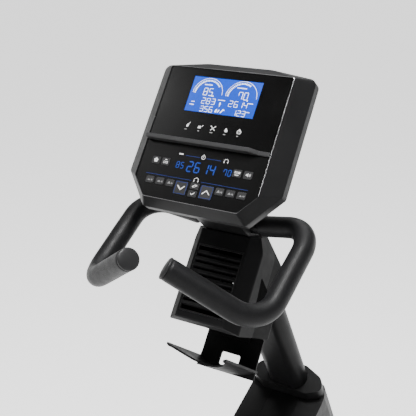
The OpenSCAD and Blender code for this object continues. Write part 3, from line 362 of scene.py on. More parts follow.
def soften(obj, width, angle=32, segments=2):
    """Welds the node's split corners, rounds its edges and shades it smooth."""
    obj.data.shade_smooth()
    weld = obj.modifiers.new("weld", "WELD")
    weld.merge_threshold = 0.00001
    if width:
        bevel = obj.modifiers.new("bevel", "BEVEL")
        bevel.width = width
        bevel.segments = segments
        bevel.limit_method = "ANGLE"
        bevel.angle_limit = math.radians(angle)
        bevel.use_clamp_overlap = True
        bevel.harden_normals = False
        bevel.miter_outer = "MITER_ARC"
    normals = obj.modifiers.new("normals", "WEIGHTED_NORMAL")
    normals.keep_sharp = True
    normals.weight = 60


for name, obj in NODES.items():
    slots = obj.data.materials
    slots.clear()
    slots.append(MAT[NODE_MATERIAL.get(name, "dark")])


# ------------------------------------------------------------------ mesh helpers

def piece(name, bm, material, body, smooth=True):
    mesh = bpy.data.meshes.new(name)
    bm.normal_update()
    bm.to_mesh(mesh)
    bm.free()
    if smooth:
        mesh.shade_smooth()
    obj = bpy.data.objects.new(name, mesh)
    bpy.context.scene.collection.objects.link(obj)
    for m in material if isinstance(material, list) else [material]:
        mesh.materials.append(MAT[m])
    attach(obj, body)
    return obj


def bend_points(a, b, c, bend, n):
    d1, d2 = (b - a).normalized(), (c - b).normalized()
    turn = math.acos(max(-1, min(1, d1.dot(d2))))
    inward = (d2 - d1 * d1.dot(d2)).normalized()
    mid = b - d1 * bend * math.tan(turn / 2) + inward * bend
    return [mid - inward * bend * math.cos(turn * i / n) + d1 * bend * math.sin(turn * i / n)
            for i in range(n + 1)]


def bent_path(pts, bend, n=20):
    path = [pts[0]]
    for i in range(1, len(pts) - 1):
        path += bend_points(pts[i - 1], pts[i], pts[i + 1], bend, n)
    path.append(pts[-1])
    return path


def resampled(path, step):
    """Points along a path no further apart than step."""
    out = [path[0]]
    for a, b in zip(path, path[1:]):
        n = max(1, math.ceil((b - a).length / step))
        out += [a.lerp(b, i / n) for i in range(1, n + 1)]
    return out


def swept(bm, path, radius_at, sides=48, up=Vector((0, -0.47, 0.88)), closed=False, flat=1.0):
    """A tube along a path. radius_at gives the radius at a distance from the start and end."""
    total = sum((b - a).length for a, b in zip(path, path[1:]))
    rings, run = [], 0.0
    count = len(path)
    for i, p in enumerate(path):
        if i:
            run += (p - path[i - 1]).length
        if closed:
            t = (path[(i + 1) % count] - path[i - 1]).normalized()
        else:
            a = path[max(i, 1)] - path[max(i, 1) - 1]
            b = path[min(i, count - 2) + 1] - path[min(i, count - 2)]
            t = (a.normalized() + b.normalized()).normalized()
        e1 = t.cross(up).normalized()
        e2 = t.cross(e1)
        r = radius_at(run, total - run)
        rings.append([bm.verts.new(p + r * (e1 * math.cos(j * 2 * math.pi / sides)
                                            + flat * e2 * math.sin(j * 2 * math.pi / sides)))
                      for j in range(sides)])
    pairs = list(zip(rings, rings[1:])) + ([(rings[-1], rings[0])] if closed else [])
    for a, b in pairs:
        for j in range(sides):
            k = (j + 1) % sides
            bm.faces.new((a[j], a[k], b[k], b[j]))
    if not closed:
        bm.faces.new(list(reversed(rings[0])))
        bm.faces.new(rings[-1])
    bmesh.ops.recalc_face_normals(bm, faces=bm.faces)
    return rings


def revolved(bm, profile, origin, axis, sides=48):
    """A closed solid turned about an axis from (radius, height) pairs."""
    z = axis.normalized()
    x = z.orthogonal().normalized()
    y = z.cross(x)
    rings = []
    for r, h in profile:
        if r < 1e-7:
            rings.append([bm.verts.new(origin + z * h)])
            continue
        rings.append([bm.verts.new(origin + z * h
                                   + r * (x * math.cos(j * 2 * math.pi / sides)
                                          + y * math.sin(j * 2 * math.pi / sides)))
                      for j in range(sides)])
    for a, b in zip(rings, rings[1:]):
        for j in range(sides):
            k = (j + 1) % sides
            if len(a) == 1:
                bm.faces.new((a[0], b[j], b[k]))
            elif len(b) == 1:
                bm.faces.new((a[j], b[0], a[k]))
            else:
                bm.faces.new((a[j], b[j], b[k], a[k]))
    bmesh.ops.recalc_face_normals(bm, faces=bm.faces)


def prism(bm, points, low, high, place=PANEL):
    """A flat polygon in the panel's plane (x, y up the panel, millimetres), given a thickness."""
    area = sum(a[0] * b[1] - b[0] * a[1] for a, b in zip(points, points[1:] + points[:1]))
    if area < 0:
        points = points[::-1]
    bottom = [bm.verts.new(place @ (Vector((x, y, low)) * MM)) for x, y in points]
    top = [bm.verts.new(place @ (Vector((x, y, high)) * MM)) for x, y in points]
    bm.faces.new(top)
    bm.faces.new(bottom[::-1])
    n = len(points)
    for i in range(n):
        k = (i + 1) % n
        bm.faces.new((bottom[i], bottom[k], top[k], top[i]))


# ------------------------------------------------------------------ handlebar and grips

MAST_LEAN = math.radians(30.5)
CLAMP_UP_MAST = 560                       # the clamp's height along the mast's axis
clamp = Vector((0, 363 - CLAMP_UP_MAST * math.sin(MAST_LEAN),
                637 + CLAMP_UP_MAST * math.cos(MAST_LEAN))) * MM
knee = Vector((0.060, clamp.y, clamp.z))
bar_front = Vector((0.189, 0.055, 1.147))
bar_outer = Vector((0.186, -0.146, 1.031))
bar_end = Vector((0.037, -0.218, 1.136))
outward = (bar_end - bar_outer).normalized()
foam_start = knee + (bar_front - knee).normalized() * 0.009
foam_end = bar_end - outward * 0.005
BEND = 0.062                              # radius of the tube's bends, at its axis
TUBE_RADIUS = 0.016
FOAM_RADIUS = 0.021


def mirrored(p):
    return Vector((-p.x, p.y, p.z))


bm = bmesh.new()
bar_path = bent_path([mirrored(foam_end), mirrored(bar_outer), mirrored(bar_front),
                      mirrored(knee), knee, bar_front, bar_outer, foam_end], BEND)
swept(bm, bar_path, lambda a, b: TUBE_RADIUS, 40)
bar = piece("handlebar_bent_tube", bm, "bar", "base")
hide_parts("handlebar")


def foam_radius(a, b):
    """Soft rounding where the sleeve is cut at its inner end, and a slight squeeze at the cap."""
    r = FOAM_RADIUS
    if a < 0.006:
        r -= 0.0045 * (1 - math.sqrt(max(0, 1 - (1 - a / 0.006) ** 2)))
    if b < 0.003:
        r -= 0.0006 * (1 - b / 0.003)
    return r


for side, flip in (("right", lambda p: p), ("left", mirrored)):
    path = bent_path([flip(foam_start), flip(bar_front), flip(bar_outer), flip(foam_end)], BEND)
    head = [path[0].lerp(path[1], t * 0.006 / (path[1] - path[0]).length)
            for t in (0.1, 0.25, 0.45, 0.7, 1.0)]
    path = [path[0]] + head + resampled(path[1:], 0.006)
    bm = bmesh.new()
    swept(bm, path, foam_radius, 64)
    for v in bm.verts:
        soft = noise.noise(v.co * 22) * 0.00035 - 0.0002
        centre = min(path, key=lambda p: (p - v.co).length_squared)
        if (v.co - centre).length > 0.012:
            v.co += (v.co - centre).normalized() * soft
    grip = piece(f"foam_grip_{side}", bm, "foam", "base")
    if side == "right":
        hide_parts("foam_grips")

    bm = bmesh.new()
    out = flip(outward)
    dome = [(0.0, 0.0001), (0.0195, 0.0001), (0.0206, 0.0004), (0.021, 0.001), (0.021, 0.0024),
            (0.0207, 0.0034)]
    dome += [(0.0204 * math.cos(math.radians(a)), 0.0034 + 0.0035 * math.sin(math.radians(a)))
             for a in range(12, 90, 11)]
    dome += [(0.0, 0.0069)]
    revolved(bm, dome, flip(foam_end), out, 64)
    cap = piece(f"grip_cap_{side}", bm, "cap", "base")
    if side == "right":
        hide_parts("grip_end_caps")

# ------------------------------------------------------------------ saddle

SADDLE_REAR = -0.670
SADDLE_LENGTH = 0.270
PAN_TOP = 0.8908                          # where the pad rests on the shell
PAD_INSET = 0.003                         # the pad starts this much small, then is blown up
PAD_END = 0.007                           # from the saddle's rear to the pad's


def saddle_half_width(t):
    """Half width of the saddle at a share of its length, from the rear (0) to the nose (1)."""
    keys = [(0.0, 0.062), (0.04, 0.092), (0.12, 0.116), (0.22, 0.1225), (0.34, 0.118),
            (0.46, 0.098), (0.58, 0.070), (0.70, 0.049), (0.82, 0.038), (0.92, 0.0315),
            (0.97, 0.0265), (1.0, 0.0185)]
    for (t0, w0), (t1, w1) in zip(keys, keys[1:]):
        if t <= t1:
            f = (t - t0) / (t1 - t0)
            f = f * f * (3 - 2 * f) * 0.4 + f * 0.6
            return w0 + (w1 - w0) * f
    return keys[-1][1]


def saddle_top(t, s):
    """Height of the crown above the pan, at a share t of the length and s of the half width."""
    rear_kick = 0.009 * max(0, 1 - t / 0.25) ** 1.5
    nose_drop = 0.012 * max(0, (t - 0.8) / 0.2) ** 2
    height = 0.052 + rear_kick - nose_drop - 0.006 * math.sin(math.pi * min(1, max(0, t - .1)))
    channel = 0.0075 * math.exp(-(s / 0.13) ** 2) * max(0, math.sin(math.pi * min(1, t * 1.08)))
    return height * (1 - 0.16 * abs(s) ** 3.2) - channel


def saddle_mesh(bm, shrink=0.0):
    """A crowned, rolled-edge pad as a closed mesh."""
    rows, cols, base = 40, 28, PAN_TOP
    rings = []
    for i in range(rows + 1):
        t = i / rows
        y = SADDLE_REAR + 0.004 + shrink + (SADDLE_LENGTH - 0.008 - 2 * shrink) * t
        hw = saddle_half_width(t) - shrink
        ring = []
        for j in range(cols):
            a = 2 * math.pi * j / cols
            c, s = math.cos(a), math.sin(a)
            x = hw * math.copysign(abs(c) ** 0.62, c)
            if s >= 0:
                z = base + 0.012 + (saddle_top(t, x / hw) - 0.012 - shrink) * abs(s) ** 0.7
            else:
                z = base + 0.012 - 0.012 * abs(s) ** 0.6
            ring.append(bm.verts.new((x, y, z)))
        rings.append(ring)
    for a, b in zip(rings, rings[1:]):
        for j in range(cols):
            k = (j + 1) % cols
            bm.faces.new((a[j], a[k], b[k], b[j]))
    bm.faces.new(rings[0])
    bm.faces.new(rings[-1][::-1])
    bmesh.ops.recalc_face_normals(bm, faces=bm.faces)
    return rings


def inflated(obj, cap, frames=14, pressure=3.0):
    """Blows the pad up a little by cloth pressure, keeping every point within cap of its start."""
    bpy.context.view_layer.objects.active = obj
    remesh = obj.modifiers.new("remesh", "REMESH")
    remesh.mode = "VOXEL"
    remesh.voxel_size = 0.0055
    dg = bpy.context.evaluated_depsgraph_get()
    mesh = bpy.data.meshes.new_from_object(obj.evaluated_get(dg))
    obj.modifiers.clear()
    obj.data = mesh
    start = [v.co.copy() for v in mesh.vertices]
    held = obj.vertex_groups.new(name="held")
    low = min(v.co.z for v in mesh.vertices)
    held.add([v.index for v in mesh.vertices if v.co.z < low + 0.006], 1.0, "REPLACE")
    cloth = obj.modifiers.new("cloth", "CLOTH")
    cloth.settings.vertex_group_mass = "held"
    cloth.settings.use_pressure = True
    cloth.settings.uniform_pressure_force = pressure
    cloth.settings.effector_weights.gravity = 0
    cloth.settings.tension_stiffness = 40
    cloth.settings.compression_stiffness = 40
    cloth.settings.bending_stiffness = 4
    cloth.point_cache.frame_end = frames
    for f in range(1, frames + 1):
        bpy.context.scene.frame_set(f)
    dg = bpy.context.evaluated_depsgraph_get()
    done = bpy.data.meshes.new_from_object(obj.evaluated_get(dg))
    obj.modifiers.clear()
    obj.data = done
    for v, s in zip(done.vertices, start):
        move = v.co - s
        if move.length > cap:
            v.co = s + move.normalized() * cap
    bpy.context.scene.frame_set(1)
    obj.data.shade_smooth()


bm = bmesh.new()
saddle_mesh(bm, PAD_INSET)
cushion = piece("saddle_pad", bm, ["leather", "vinyl"], "saddle_post")
inflated(cushion, 0.004)
smooth = cushion.modifiers.new("smooth", "SMOOTH")
smooth.factor = 0.5
smooth.iterations = 4
cushion.modifiers.new("subdivision", "SUBSURF").levels = 1
cushion.modifiers["subdivision"].render_levels = 1
if len(cushion.data.materials) < 2:        # the remeshed copy may come without them
    cushion.data.materials.clear()
    cushion.data.materials.append(MAT["leather"])
    cushion.data.materials.append(MAT["vinyl"])


# Leather on the crown, stretch vinyl round the sides
for poly in cushion.data.polygons:
    c = poly.center
    t = (c.y - SADDLE_REAR - PAD_END) / (SADDLE_LENGTH - 2 * PAD_END)
    s = abs(c.x) / max(0.02, saddle_half_width(max(0, min(1, t))) - PAD_INSET)
    crown = c.z > PAN_TOP + saddle_top(max(0, min(1, t)), min(1, s)) * 0.72
    poly.material_index = 0 if (s < 0.78 and crown) else 1
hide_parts("saddle_cushion")


finished_pad = cushion.evaluated_get(bpy.context.evaluated_depsgraph_get())


def surface_point(x, y):
    """The top of the finished pad under a point, found by casting a ray down onto it."""
    hit, where, normal, index = finished_pad.ray_cast(Vector((x, y, 1.2)), Vector((0, 0, -1)))
    return where if hit else None


# The seam between crown and sides: piping, with a row of stitches on each side of it
seam = []
for i in range(0, 97):
    a = i / 96
    t, s = (0.06 + 0.88 * a, 0.76)
    y = SADDLE_REAR + PAD_END + (SADDLE_LENGTH - 2 * PAD_END) * t
    seam.append(((saddle_half_width(t) - PAD_INSET) * s, y))
for side in (-1, 1):
    points = [surface_point(side * x, y) for x, y in seam]
    points = [p for p in points if p is not None]
    bm = bmesh.new()
    swept(bm, points, lambda a, b: 0.0011, 10, Vector((0, 0, 1)))
    for v in bm.verts:
        v.co.z -= 0.0002
    piece(f"saddle_piping_{'right' if side > 0 else 'left'}", bm, "vinyl", "saddle_post")
    bm = bmesh.new()
    for row in (-1, 1):
        for i in range(2, len(points) - 3, 2):
            a, b = points[i].copy(), points[i + 1].copy()
            shift = Vector(((b - a).y, -(b - a).x, 0)).normalized() * 0.0032 * row
            a, b = a.lerp(b, 0.1) + shift, a.lerp(b, 0.9) + shift
            on = [surface_point(p.x, p.y) for p in (a, a.lerp(b, 0.5), b)]
            if None in on:
                continue
            on = [p + Vector((0, 0, 0.0003 * k)) for p, k in zip(on, (-1, 1, -1))]
            swept(bm, on, lambda a, b: 0.00045, 6, Vector((0, 0, 1)))
    piece(f"saddle_stitches_{'right' if side > 0 else 'left'}", bm, "thread", "saddle_post")

# ------------------------------------------------------------------ display graphics

SEGMENTS = {"0": "ABCDEF", "1": "BC", "2": "ABGED", "3": "ABGCD", "4": "FGBC", "5": "AFGCD",
            "6": "AFGECD", "7": "ABCF", "8": "ABCDEFG", "9": "ABCDFG"}


def digit(char, x, y, w, h, t, slant):
    """Seven-segment digit: its polygons, with x, y the middle."""
    hw, hh, g = w / 2, h / 2, t * 0.12
    ends = {"A": ((-hw, hh), (hw, hh)), "G": ((-hw, 0), (hw, 0)), "D": ((-hw, -hh), (hw, -hh)),
            "F": ((-hw, 0), (-hw, hh)), "E": ((-hw, -hh), (-hw, 0)), "B": ((hw, 0), (hw, hh)),
            "C": ((hw, -hh), (hw, 0))}
    out = []
    for s in SEGMENTS[char]:
        (x0, y0), (x1, y1) = ends[s]
        across = t / 2
        if s in "AGD":
            x0, x1 = x0 + g, x1 - g
            shape = [(x0, y0), (x0 + across, y0 + across), (x1 - across, y0 + across), (x1, y0),
                     (x1 - across, y0 - across), (x0 + across, y0 - across)]
        else:
            y0, y1 = y0 + g, y1 - g
            shape = [(x0, y0), (x0 + across, y0 + across), (x0 + across, y1 - across), (x0, y1),
                     (x0 - across, y1 - across), (x0 - across, y0 + across)]
        out.append([(x + px + slant * py, y + py) for px, py in shape])
    return out


def number(text, x, y, w, h, t, pitch, slant=0.02):
    start = x - pitch * (len(text) - 1) / 2
    return [p for i, c in enumerate(text) for p in digit(c, start + i * pitch, y, w, h, t, slant)]


def bar_shape(x, y, w, h):
    return [(x - w / 2, y - h / 2), (x + w / 2, y - h / 2), (x + w / 2, y + h / 2),
            (x - w / 2, y + h / 2)]


def arc(x, y, r0, r1, a0, a1, n=1, fill=1.0):
    """A ring sector as n blocks. With fill below 1 the blocks have gaps between them."""
    out, step = [], (a1 - a0) / n
    for i in range(n):
        b0 = a0 + step * i
        b1 = b0 + step * fill
        m = max(1, round(abs(b1 - b0) / 9))
        angles = [math.radians(b0 + (b1 - b0) * k / m) for k in range(m + 1)]
        out.append([(x + r1 * math.cos(a), y + r1 * math.sin(a)) for a in angles]
                   + [(x + r0 * math.cos(a), y + r0 * math.sin(a)) for a in reversed(angles)])
    return out


def stroke(points, t):
    """A line of constant width through points, as one quad per leg."""
    out = []
    for (x0, y0), (x1, y1) in zip(points, points[1:]):
        length = math.hypot(x1 - x0, y1 - y0)
        dx, dy = (x1 - x0) / length * t / 2, (y1 - y0) / length * t / 2
        out.append([(x0 - dx - dy, y0 - dy + dx), (x0 - dx + dy, y0 - dy - dx),
                    (x1 + dx + dy, y1 + dy - dx), (x1 + dx - dy, y1 + dy + dx)])
    return out


def drop(x, y, w, h, lean=0.0):
    """A flame or leaf outline."""
    pts = []
    for i in range(18):
        a = 2 * math.pi * i / 18
        py = -h / 2 * math.cos(a)
        px = w / 2 * math.sin(a) * (1 - 0.55 * (py / h + 0.5))
        pts.append((x + px + lean * (py + h / 2), y + py))
    return [pts]


def marks(name, shapes, face, material, body="base", thick=0.07):
    bm = bmesh.new()
    for shape in shapes:
        prism(bm, shape, face - 0.03, face + thick)
    return piece(name, bm, material, body, smooth=False)


# Height of each printed face along the panel's normal, in millimetres
LCD_FACE = -0.8
DISPLAY_FACE = -0.5
CONTROL_FACE = -1.0
KEY_FACE = -0.2

# The lit window: two arcs of blocks with a figure in each, and three rows of figures below

white = []
for cx, end, r in ((-35.7, 34, 31.6), (36.2, 58, 32.4)):
    white += arc(cx, -49.6, r - 0.35, r + 0.35, 0, 180)
    white += arc(cx, -49.6, r - 6.2, r - 3.0, 180, end, round((180 - end) / 6.5), 0.55)
white += number("85", -34.5, -45.5, 7.6, 14.2, 1.0, 11.4)
white += number("70", 40.5, -46.0, 7.6, 14.2, 1.0, 11.4)
white += number("283", -28.0, -64.2, 7.0, 11.4, 0.85, 10.6)
white += number("26", 25.5, -64.0, 7.2, 11.6, 0.85, 11.2)
white += number("14", 46.0, -64.0, 7.0, 11.6, 0.85, 9.6)
white += number("356", -27.5, -80.4, 6.8, 10.6, 0.85, 9.8)
white += number("123", 42.0, -80.8, 6.8, 10.6, 0.85, 9.6)
white += [bar_shape(-23.0, -53.0, 5.5, 1.8), bar_shape(51.5, -54.4, 2.2, 2.2)]
white += drop(-2.0, -66.5, 4.4, 6.0) + [bar_shape(-2.0, -70.5, 1.2, 3.2)]
white += drop(-6.6, -81.0, 5.0, 7.2, 0.2) + drop(-2.0, -81.4, 3.6, 6.0, 0.4)
white += stroke([(4.5, -83.8), (8.2, -77.8)], 2.0) + stroke([(7.0, -79.4), (10.5, -78.4)], 1.6)
marks("lcd_segments", white, LCD_FACE, "lcd_ink")
labels = [bar_shape(-38.2, -31.4, 17, 2.0), bar_shape(33.4, -31.0, 20, 2.0),
          bar_shape(-1.0, -59.4, 15, 1.6), bar_shape(60.0, -59.4, 10, 1.5),
          bar_shape(60.0, -76.8, 7, 1.5), bar_shape(-60.5, -68.2, 7, 1.5),
          bar_shape(-61.5, -74.2, 10, 1.5)]
marks("lcd_labels", labels, LCD_FACE, "lcd_label")

# Icons printed under the window: leaf, cup, crossed tools, flame and clock, with bars below
icons, dim = [], []
y0 = -116.5
icons += drop(-55.5, y0, 6.6, 7.6, 0.25) + stroke([(-52.5, y0 + 3.4), (-51.0, y0 + 5.6)], 1.0)
icons += [bar_shape(-28.6, y0 - 1.2, 6.2, 4.6)]
icons += stroke([(-23.6, y0 + 0.4), (-21.8, y0 + 3.2)], 0.9)
icons += stroke([(-4.2, y0 - 3.8), (4.2, y0 + 3.8)], 1.3)
icons += stroke([(-4.2, y0 + 3.8), (4.2, y0 - 3.8)], 1.3)
icons += [bar_shape(-4.4, y0 + 3.9, 2.4, 2.4), bar_shape(4.4, y0 + 3.9, 2.4, 2.4)]
icons += drop(27.6, y0, 6.4, 8.2) + drop(30.2, y0 - 1.4, 3.0, 4.6)
icons += arc(55.0, y0, 3.0, 4.4, 0, 360, 4, 1.0) + stroke([(55.0, y0), (56.4, y0 + 1.8)], 1.0)
icons += [bar_shape(55.0, y0 + 5.2, 2.0, 1.2)]
marks("display_icons", icons, DISPLAY_FACE, "print")
for i, w in enumerate((5, 4, 6, 5, 4)):
    dim.append(bar_shape(-56.5 + i * 27.7, y0 - 8.6, w, 1.5))
marks("display_labels", dim, DISPLAY_FACE, "print_dim")


def arch(x, y, r):
    return arc(x, y, r - 0.9, r, 25, 155) + [bar_shape(x - r + 1.3, y - 0.6, 1.5, 3.6),
                                              bar_shape(x + r - 1.3, y - 0.6, 1.5, 3.6)]


# The lower panel's signs, lines and lit figures
signs = [bar_shape(-48, -174.6, 9, 2.4)]
signs += arc(0, -174.6, 3.2, 4.1, 0, 360, 4) + stroke([(0, -174.6), (0, -172.4)], 0.8)
signs += [bar_shape(0, -169.6, 1.8, 1.2)]
signs += arch(48, -176, 5.2) + arch(0, -220.5, 5.6)
marks("control_signs", signs, CONTROL_FACE, "print")
lines = [bar_shape(-22, -176, 31, 0.8), bar_shape(22, -176, 31, 0.8),
         bar_shape(-60, -221.5, 100, 0.8), bar_shape(59.5, -221.5, 97, 0.8)]
marks("control_lines", lines, CONTROL_FACE, "line")
led = number("85", -43.5, -196, 5.6, 11.5, 1.4, 9.4) + number("26", -14, -196, 9.6, 19, 2.3, 15.6)
led += number("14", 18.5, -196, 9.6, 19, 2.3, 14.4) + number("70", 57, -196, 5.6, 11.5, 1.4, 9.4)
marks("control_digits", led, CONTROL_FACE, "led")

# The sign on each key
fan_sign = [p for i in range(5) for p in
            arc(-97 + 2.6 * math.cos(math.radians(90 + 72 * i)),
                -194 + 2.6 * math.sin(math.radians(90 + 72 * i)), 0.0001, 1.9, 0, 359)]
wireless = [bar_shape(-75.5, -190.4, 4.0, 1.8)] + arc(-78.4, -195.6, 1.5, 2.3, 0, 360, 4)
wireless += arc(-72.6, -195.6, 1.5, 2.3, 0, 360, 4) + [bar_shape(-75.5, -195.0, 1.8, 0.8)]
display = [bar_shape(77 + dx, -194 + dy, 2.6, 1.4) for dx in (-4.2, -0.8, 2.6, 5.2)
           for dy in (2.6, 0.4)] + [bar_shape(77, -197.4, 8, 1.6)]
volume = [[(94.8, -195.4), (94.8, -192.6), (96.8, -192.6), (99.4, -190.4), (99.4, -197.6),
           (96.8, -195.4)]] + [bar_shape(101.4, -194, 1.0, 3.4), bar_shape(103.4, -194, 1.0, 5.4)]
down = stroke([(-33.5, -235.6), (-26.5, -242.4), (-19.5, -235.6)], 1.9)
up = stroke([(21.0, -242.4), (28.0, -235.6), (35.0, -242.4)], 1.9)
start = stroke([(-3.4, -232.6), (1.0, -229.2), (5.6, -229.4)], 1.2)
start += stroke([(-2.6, -233.4), (1.8, -233.0), (5.6, -229.6)], 1.2)
stop = stroke([(-2.4, -245.8), (0.2, -248.4), (5.0, -243.6)], 1.5)
for node, shapes in (("fan_key", fan_sign), ("wireless_key", wireless), ("display_key", display),
                     ("volume_key", volume), ("down_key", down), ("up_key", up),
                     ("start_key", start), ("stop_key", stop)):
    marks(node + "_sign", shapes, KEY_FACE, "print", node + "_body")


def outline(x, y, w, h, t):
    """A thin rectangular frame just inside a key's edge."""
    return [bar_shape(x, y + (h - t) / 2, w, t), bar_shape(x, y - (h - t) / 2, w, t),
            bar_shape(x - (w - t) / 2, y, t, h - 2 * t),
            bar_shape(x + (w - t) / 2, y, t, h - 2 * t)]


for node, x in (("down_key", -26.5), ("up_key", 28)):
    marks(node + "_outline", outline(x, -239, 24.6, 23.6, 0.8), KEY_FACE, "line",
          node + "_body")


def hills(x, y, tall):
    """A small hill profile with a number of bars: a resistance preset."""
    foot = y - 2.2
    out = [[(x - 5, foot), (x + 1.5, foot), (x - 1.2, foot + tall), (x - 2.2, foot + tall)]]
    return out + [bar_shape(x + 3.4, y - 0.8, 1.2, 2.8), bar_shape(x + 5.4, y - 0.8, 1.2, 2.8)]


for node, xs in (("quick_keys_left", (-97, -74.5, -52)), ("quick_keys_right", (98.5, 76, 53.5))):
    shapes = [p for i, x in enumerate(xs) for p in hills(x, -233, 2.4 + i)]
    marks(node + "_signs", shapes, KEY_FACE, "print_dim", node + "_body")


def rounded(points, steps):
    """A polygon with every corner rounded; each point is x, y and a radius."""
    out = []
    for i, (bx, by, r) in enumerate(points):
        a, b = Vector(points[i - 1][:2]), Vector((bx, by))
        c = Vector(points[(i + 1) % len(points)][:2])
        u, v = (a - b).normalized(), (c - b).normalized()
        half = u.angle(v) / 2
        mid = b + (u + v).normalized() * r / math.sin(half)
        p = b + u * r / math.tan(half) - mid
        q = b + v * r / math.tan(half) - mid
        turn = math.atan2(p.x * q.y - p.y * q.x, p.dot(q))
        for k in range(steps + 1):
            t = turn * k / steps
            out.append((mid.x + p.x * math.cos(t) - p.y * math.sin(t),
                        mid.y + p.x * math.sin(t) + p.y * math.cos(t)))
    return out


def console_outline(g, r):
    """The console's outline in the panel's plane: g is 0 at the panel and 1 at the case."""
    half = [((130 + 34 * g) * 0.42, 23 * g, 120 if g > 0.5 else 4), (130 + 33 * g, 11 * g, r),
            (130 + 34 * g, -231 + 15 * g, 8), (100 + 10 * g, -266 - 14 * g, 8)]
    return rounded(half + [(-x, y, c) for x, y, c in reversed(half)], 6)


# The lip round the panel: a narrow band that falls away outwards
bm = bmesh.new()
loops = []
for g, n in ((0.016, 0.42), (0.016, 0.92), (0.056, 0.56), (0.056, 0.42)):
    loops.append([bm.verts.new(PANEL @ (Vector((x, y, n)) * MM))
                  for x, y in console_outline(g, 4)])
count = len(loops[0])
for k in range(4):
    a, b = loops[k], loops[(k + 1) % 4]
    for j in range(count):
        bm.faces.new((a[j], a[(j + 1) % count], b[(j + 1) % count], b[j]))
bmesh.ops.recalc_face_normals(bm, faces=bm.faces)
piece("bezel_lip", bm, "lip", "base", smooth=False)


# A near-black sheet on the floor of each side recess of the fan housing: painted shade, standing
# in for the shadow in the recess
HOUSE_HALF = 79                           # half the housing's width, in millimetres
for side in (-1, 1):
    bm = bmesh.new()
    across = PANEL @ Matrix(((0, 0, side, 0), (1, 0, 0, 0), (0, 1, 0, 0), (0, 0, 0, 1)))
    prism(bm, rounded([(-332, -225.2, 2.5), (-424.8, -242.6, 5), (-376.2, -338.6, 5)], 5),
          HOUSE_HALF - 1.7, HOUSE_HALF + 0.12, across)
    bmesh.ops.recalc_face_normals(bm, faces=bm.faces)
    piece(f"housing_recess_shade_{'right' if side > 0 else 'left'}", bm, "inlay", "base",
          smooth=False)

# ------------------------------------------------------------------ small hardware

def screw(bm, at, axis, r=0.0042, h=0.0022):
    """A domed head with a round hollow in its top."""
    profile = [(0.0, 0.0), (r, 0.0), (r, h * 0.35), (r * 0.86, h * 0.75), (r * 0.45, h),
               (r * 0.4, h * 0.55), (0.0, h * 0.5)]
    revolved(bm, profile, at, axis, 20)


def panel_point(x, u, n):
    return PANEL @ (Vector((x, -u, n)) * MM)


def down_to(node, start, direction):
    """Where a ray first meets a CAD node, and the surface's normal there."""
    obj = NODES[node]
    hit, where, normal, index = obj.ray_cast(start, direction)
    return (where, normal) if hit else (None, None)


inward_n = (PANEL.to_3x3() @ Vector((0, 0, 1))).normalized()
bm = bmesh.new()
for x, u in ((-96, 34), (96, 34), (-96, 196), (96, 196), (-52, 226), (52, 226)):
    where, normal = down_to("console_back_case", panel_point(x, u, -140), inward_n)
    if where is not None:
        screw(bm, where - normal * 0.0004, normal)
piece("console_screws", bm, "steel", "base")

bm = bmesh.new()
for side in (-1, 1):
    for y, z in ((-0.30, 0.40), (-0.40, 0.17), (-0.08, 0.41), (-0.10, 0.15), (0.14, 0.15),
                 (0.30, 0.15), (0.12, 0.42)):
        node = "shroud_right" if side > 0 else "shroud_left"
        where, normal = down_to(node, Vector((side * 0.3, y, z)), Vector((-side, 0, 0)))
        if where is not None:
            screw(bm, where - normal * 0.0004, normal)
piece("shroud_screws", bm, "steel", "base")

# Reflectors on the pedals' ends
crank = Vector((0, -0.310, 0.310))
CRANK_ANGLE = math.radians(32)
CRANK_LENGTH = 0.170
REFLECTOR = Matrix.Diagonal((0.023, 0.0032, 0.0085, 1))
arm = Vector((0, math.cos(CRANK_ANGLE), -math.sin(CRANK_ANGLE))) * CRANK_LENGTH
for side, centre in (("right", crank + arm), ("left", crank - arm)):
    flip = 1 if side == "right" else -1
    bm = bmesh.new()
    for end in (-1, 1):
        mid = Vector((flip * 0.157, centre.y + end * 0.0474, centre.z - 0.0035))
        lean = Matrix.Rotation(end * math.radians(-15), 4, "X")
        for sx in (-1, 1):
            place = Matrix.Translation(mid + Vector((sx * 0.0135, 0, 0))) @ lean
            bmesh.ops.create_cube(bm, size=1.0, matrix=place @ REFLECTOR)
    obj = piece(f"pedal_reflectors_{side}", bm, "amber", f"{side}_pedal", False)
    edge = obj.modifiers.new("bevel", "BEVEL")
    edge.width = 0.0007
    edge.segments = 2

for name, width in EDGES.items():
    soften(NODES[name], width)
for name in NODES:
    if name not in EDGES and name not in ("handlebar", "foam_grips", "grip_end_caps",
                                          "saddle_cushion"):
        soften(NODES[name], 0)

# ------------------------------------------------------------------ floor, light and camera

bm = bmesh.new()
bmesh.ops.create_grid(bm, x_segments=2, y_segments=2, size=60)
mesh = bpy.data.meshes.new("floor")
bm.to_mesh(mesh)
bm.free()
floor = bpy.data.objects.new("floor", mesh)
bpy.context.scene.collection.objects.link(floor)
pale = Shader("pale_floor", (0.93, 0.93, 0.93), 0.85, Specular_IOR_Level=0.1)
pale.tint(pale.noise(3, 2), 0.3, 0.7, 0.995, 1.0)
pale.b.inputs["Emission Color"].default_value = (1, 1, 1, 1)
pale.b.inputs["Emission Strength"].default_value = 1.1
mesh.materials.append(pale.m)

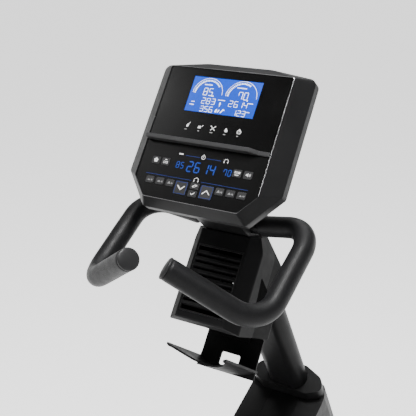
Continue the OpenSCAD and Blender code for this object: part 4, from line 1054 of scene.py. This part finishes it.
world = bpy.data.worlds.new("soft_room")
world.use_nodes = True
tree = world.node_tree
split = tree.nodes.new("ShaderNodeSeparateXYZ")
tree.links.new(tree.nodes.new("ShaderNodeTexCoord").outputs["Generated"], split.inputs["Vector"])
fall = tree.nodes.new("ShaderNodeMapRange")       # pale at the horizon, dim overhead
fall.interpolation_type = "SMOOTHSTEP"
for socket, value in (("From Min", 0.03), ("From Max", 0.2), ("To Min", 1.3), ("To Max", 0.13)):
    fall.inputs[socket].default_value = value
tree.links.new(split.outputs["Z"], fall.inputs["Value"])
room = tree.nodes["Background"]
room.inputs["Color"].default_value = (1.0, 1.0, 1.0, 1)
tree.links.new(fall.outputs["Result"], room.inputs["Strength"])
bpy.context.scene.world = world


def soft_light(name, at, aim, size, power):
    light = bpy.data.lights.new(name, "AREA")
    light.shape = "RECTANGLE"
    light.size, light.size_y = size
    light.energy = power
    obj = bpy.data.objects.new(name, light)
    obj.location = at
    obj.rotation_euler = (Vector(aim) - Vector(at)).to_track_quat("-Z", "Y").to_euler()
    bpy.context.scene.collection.objects.link(obj)


sun = bpy.data.lights.new("ceiling_glow", "SUN")
sun.energy = 1.6
sun.angle = math.radians(50)
ceiling = bpy.data.objects.new("ceiling_glow", sun)
ceiling.rotation_euler = Vector((-0.25, 0.55, 0.8)).to_track_quat("Z", "Y").to_euler()
bpy.context.scene.collection.objects.link(ceiling)
soft_light("left_softbox", (-3.8, -2.4, 4.9), (0, -0.05, 1.30), (1.0, 1.6), 38)
soft_light("overhead_strip", (0.3, -0.4, 3.4), (0.1, -0.1, 1.1), (0.5, 0.8), 130)
soft_light("rider_softbox", (0.0, -2.6, 4.3), (0, 0, 1.3), (0.35, 0.35), 12)
soft_light("right_strip", (1.6, 2.5, 0.9), (0.1, 0.05, 1.25), (0.5, 1.4), 9)

camera = bpy.data.cameras.new("camera")
camera.lens = 70.78
camera.sensor_width = 36
camera.clip_start = 0.01
view = bpy.data.objects.new("camera", camera)
view.location = (0.7501, -1.2651, 1.6834)
view.rotation_euler = (math.radians(90 - 19.24), 0, math.radians(30.954))
bpy.context.scene.collection.objects.link(view)
bpy.context.scene.camera = view
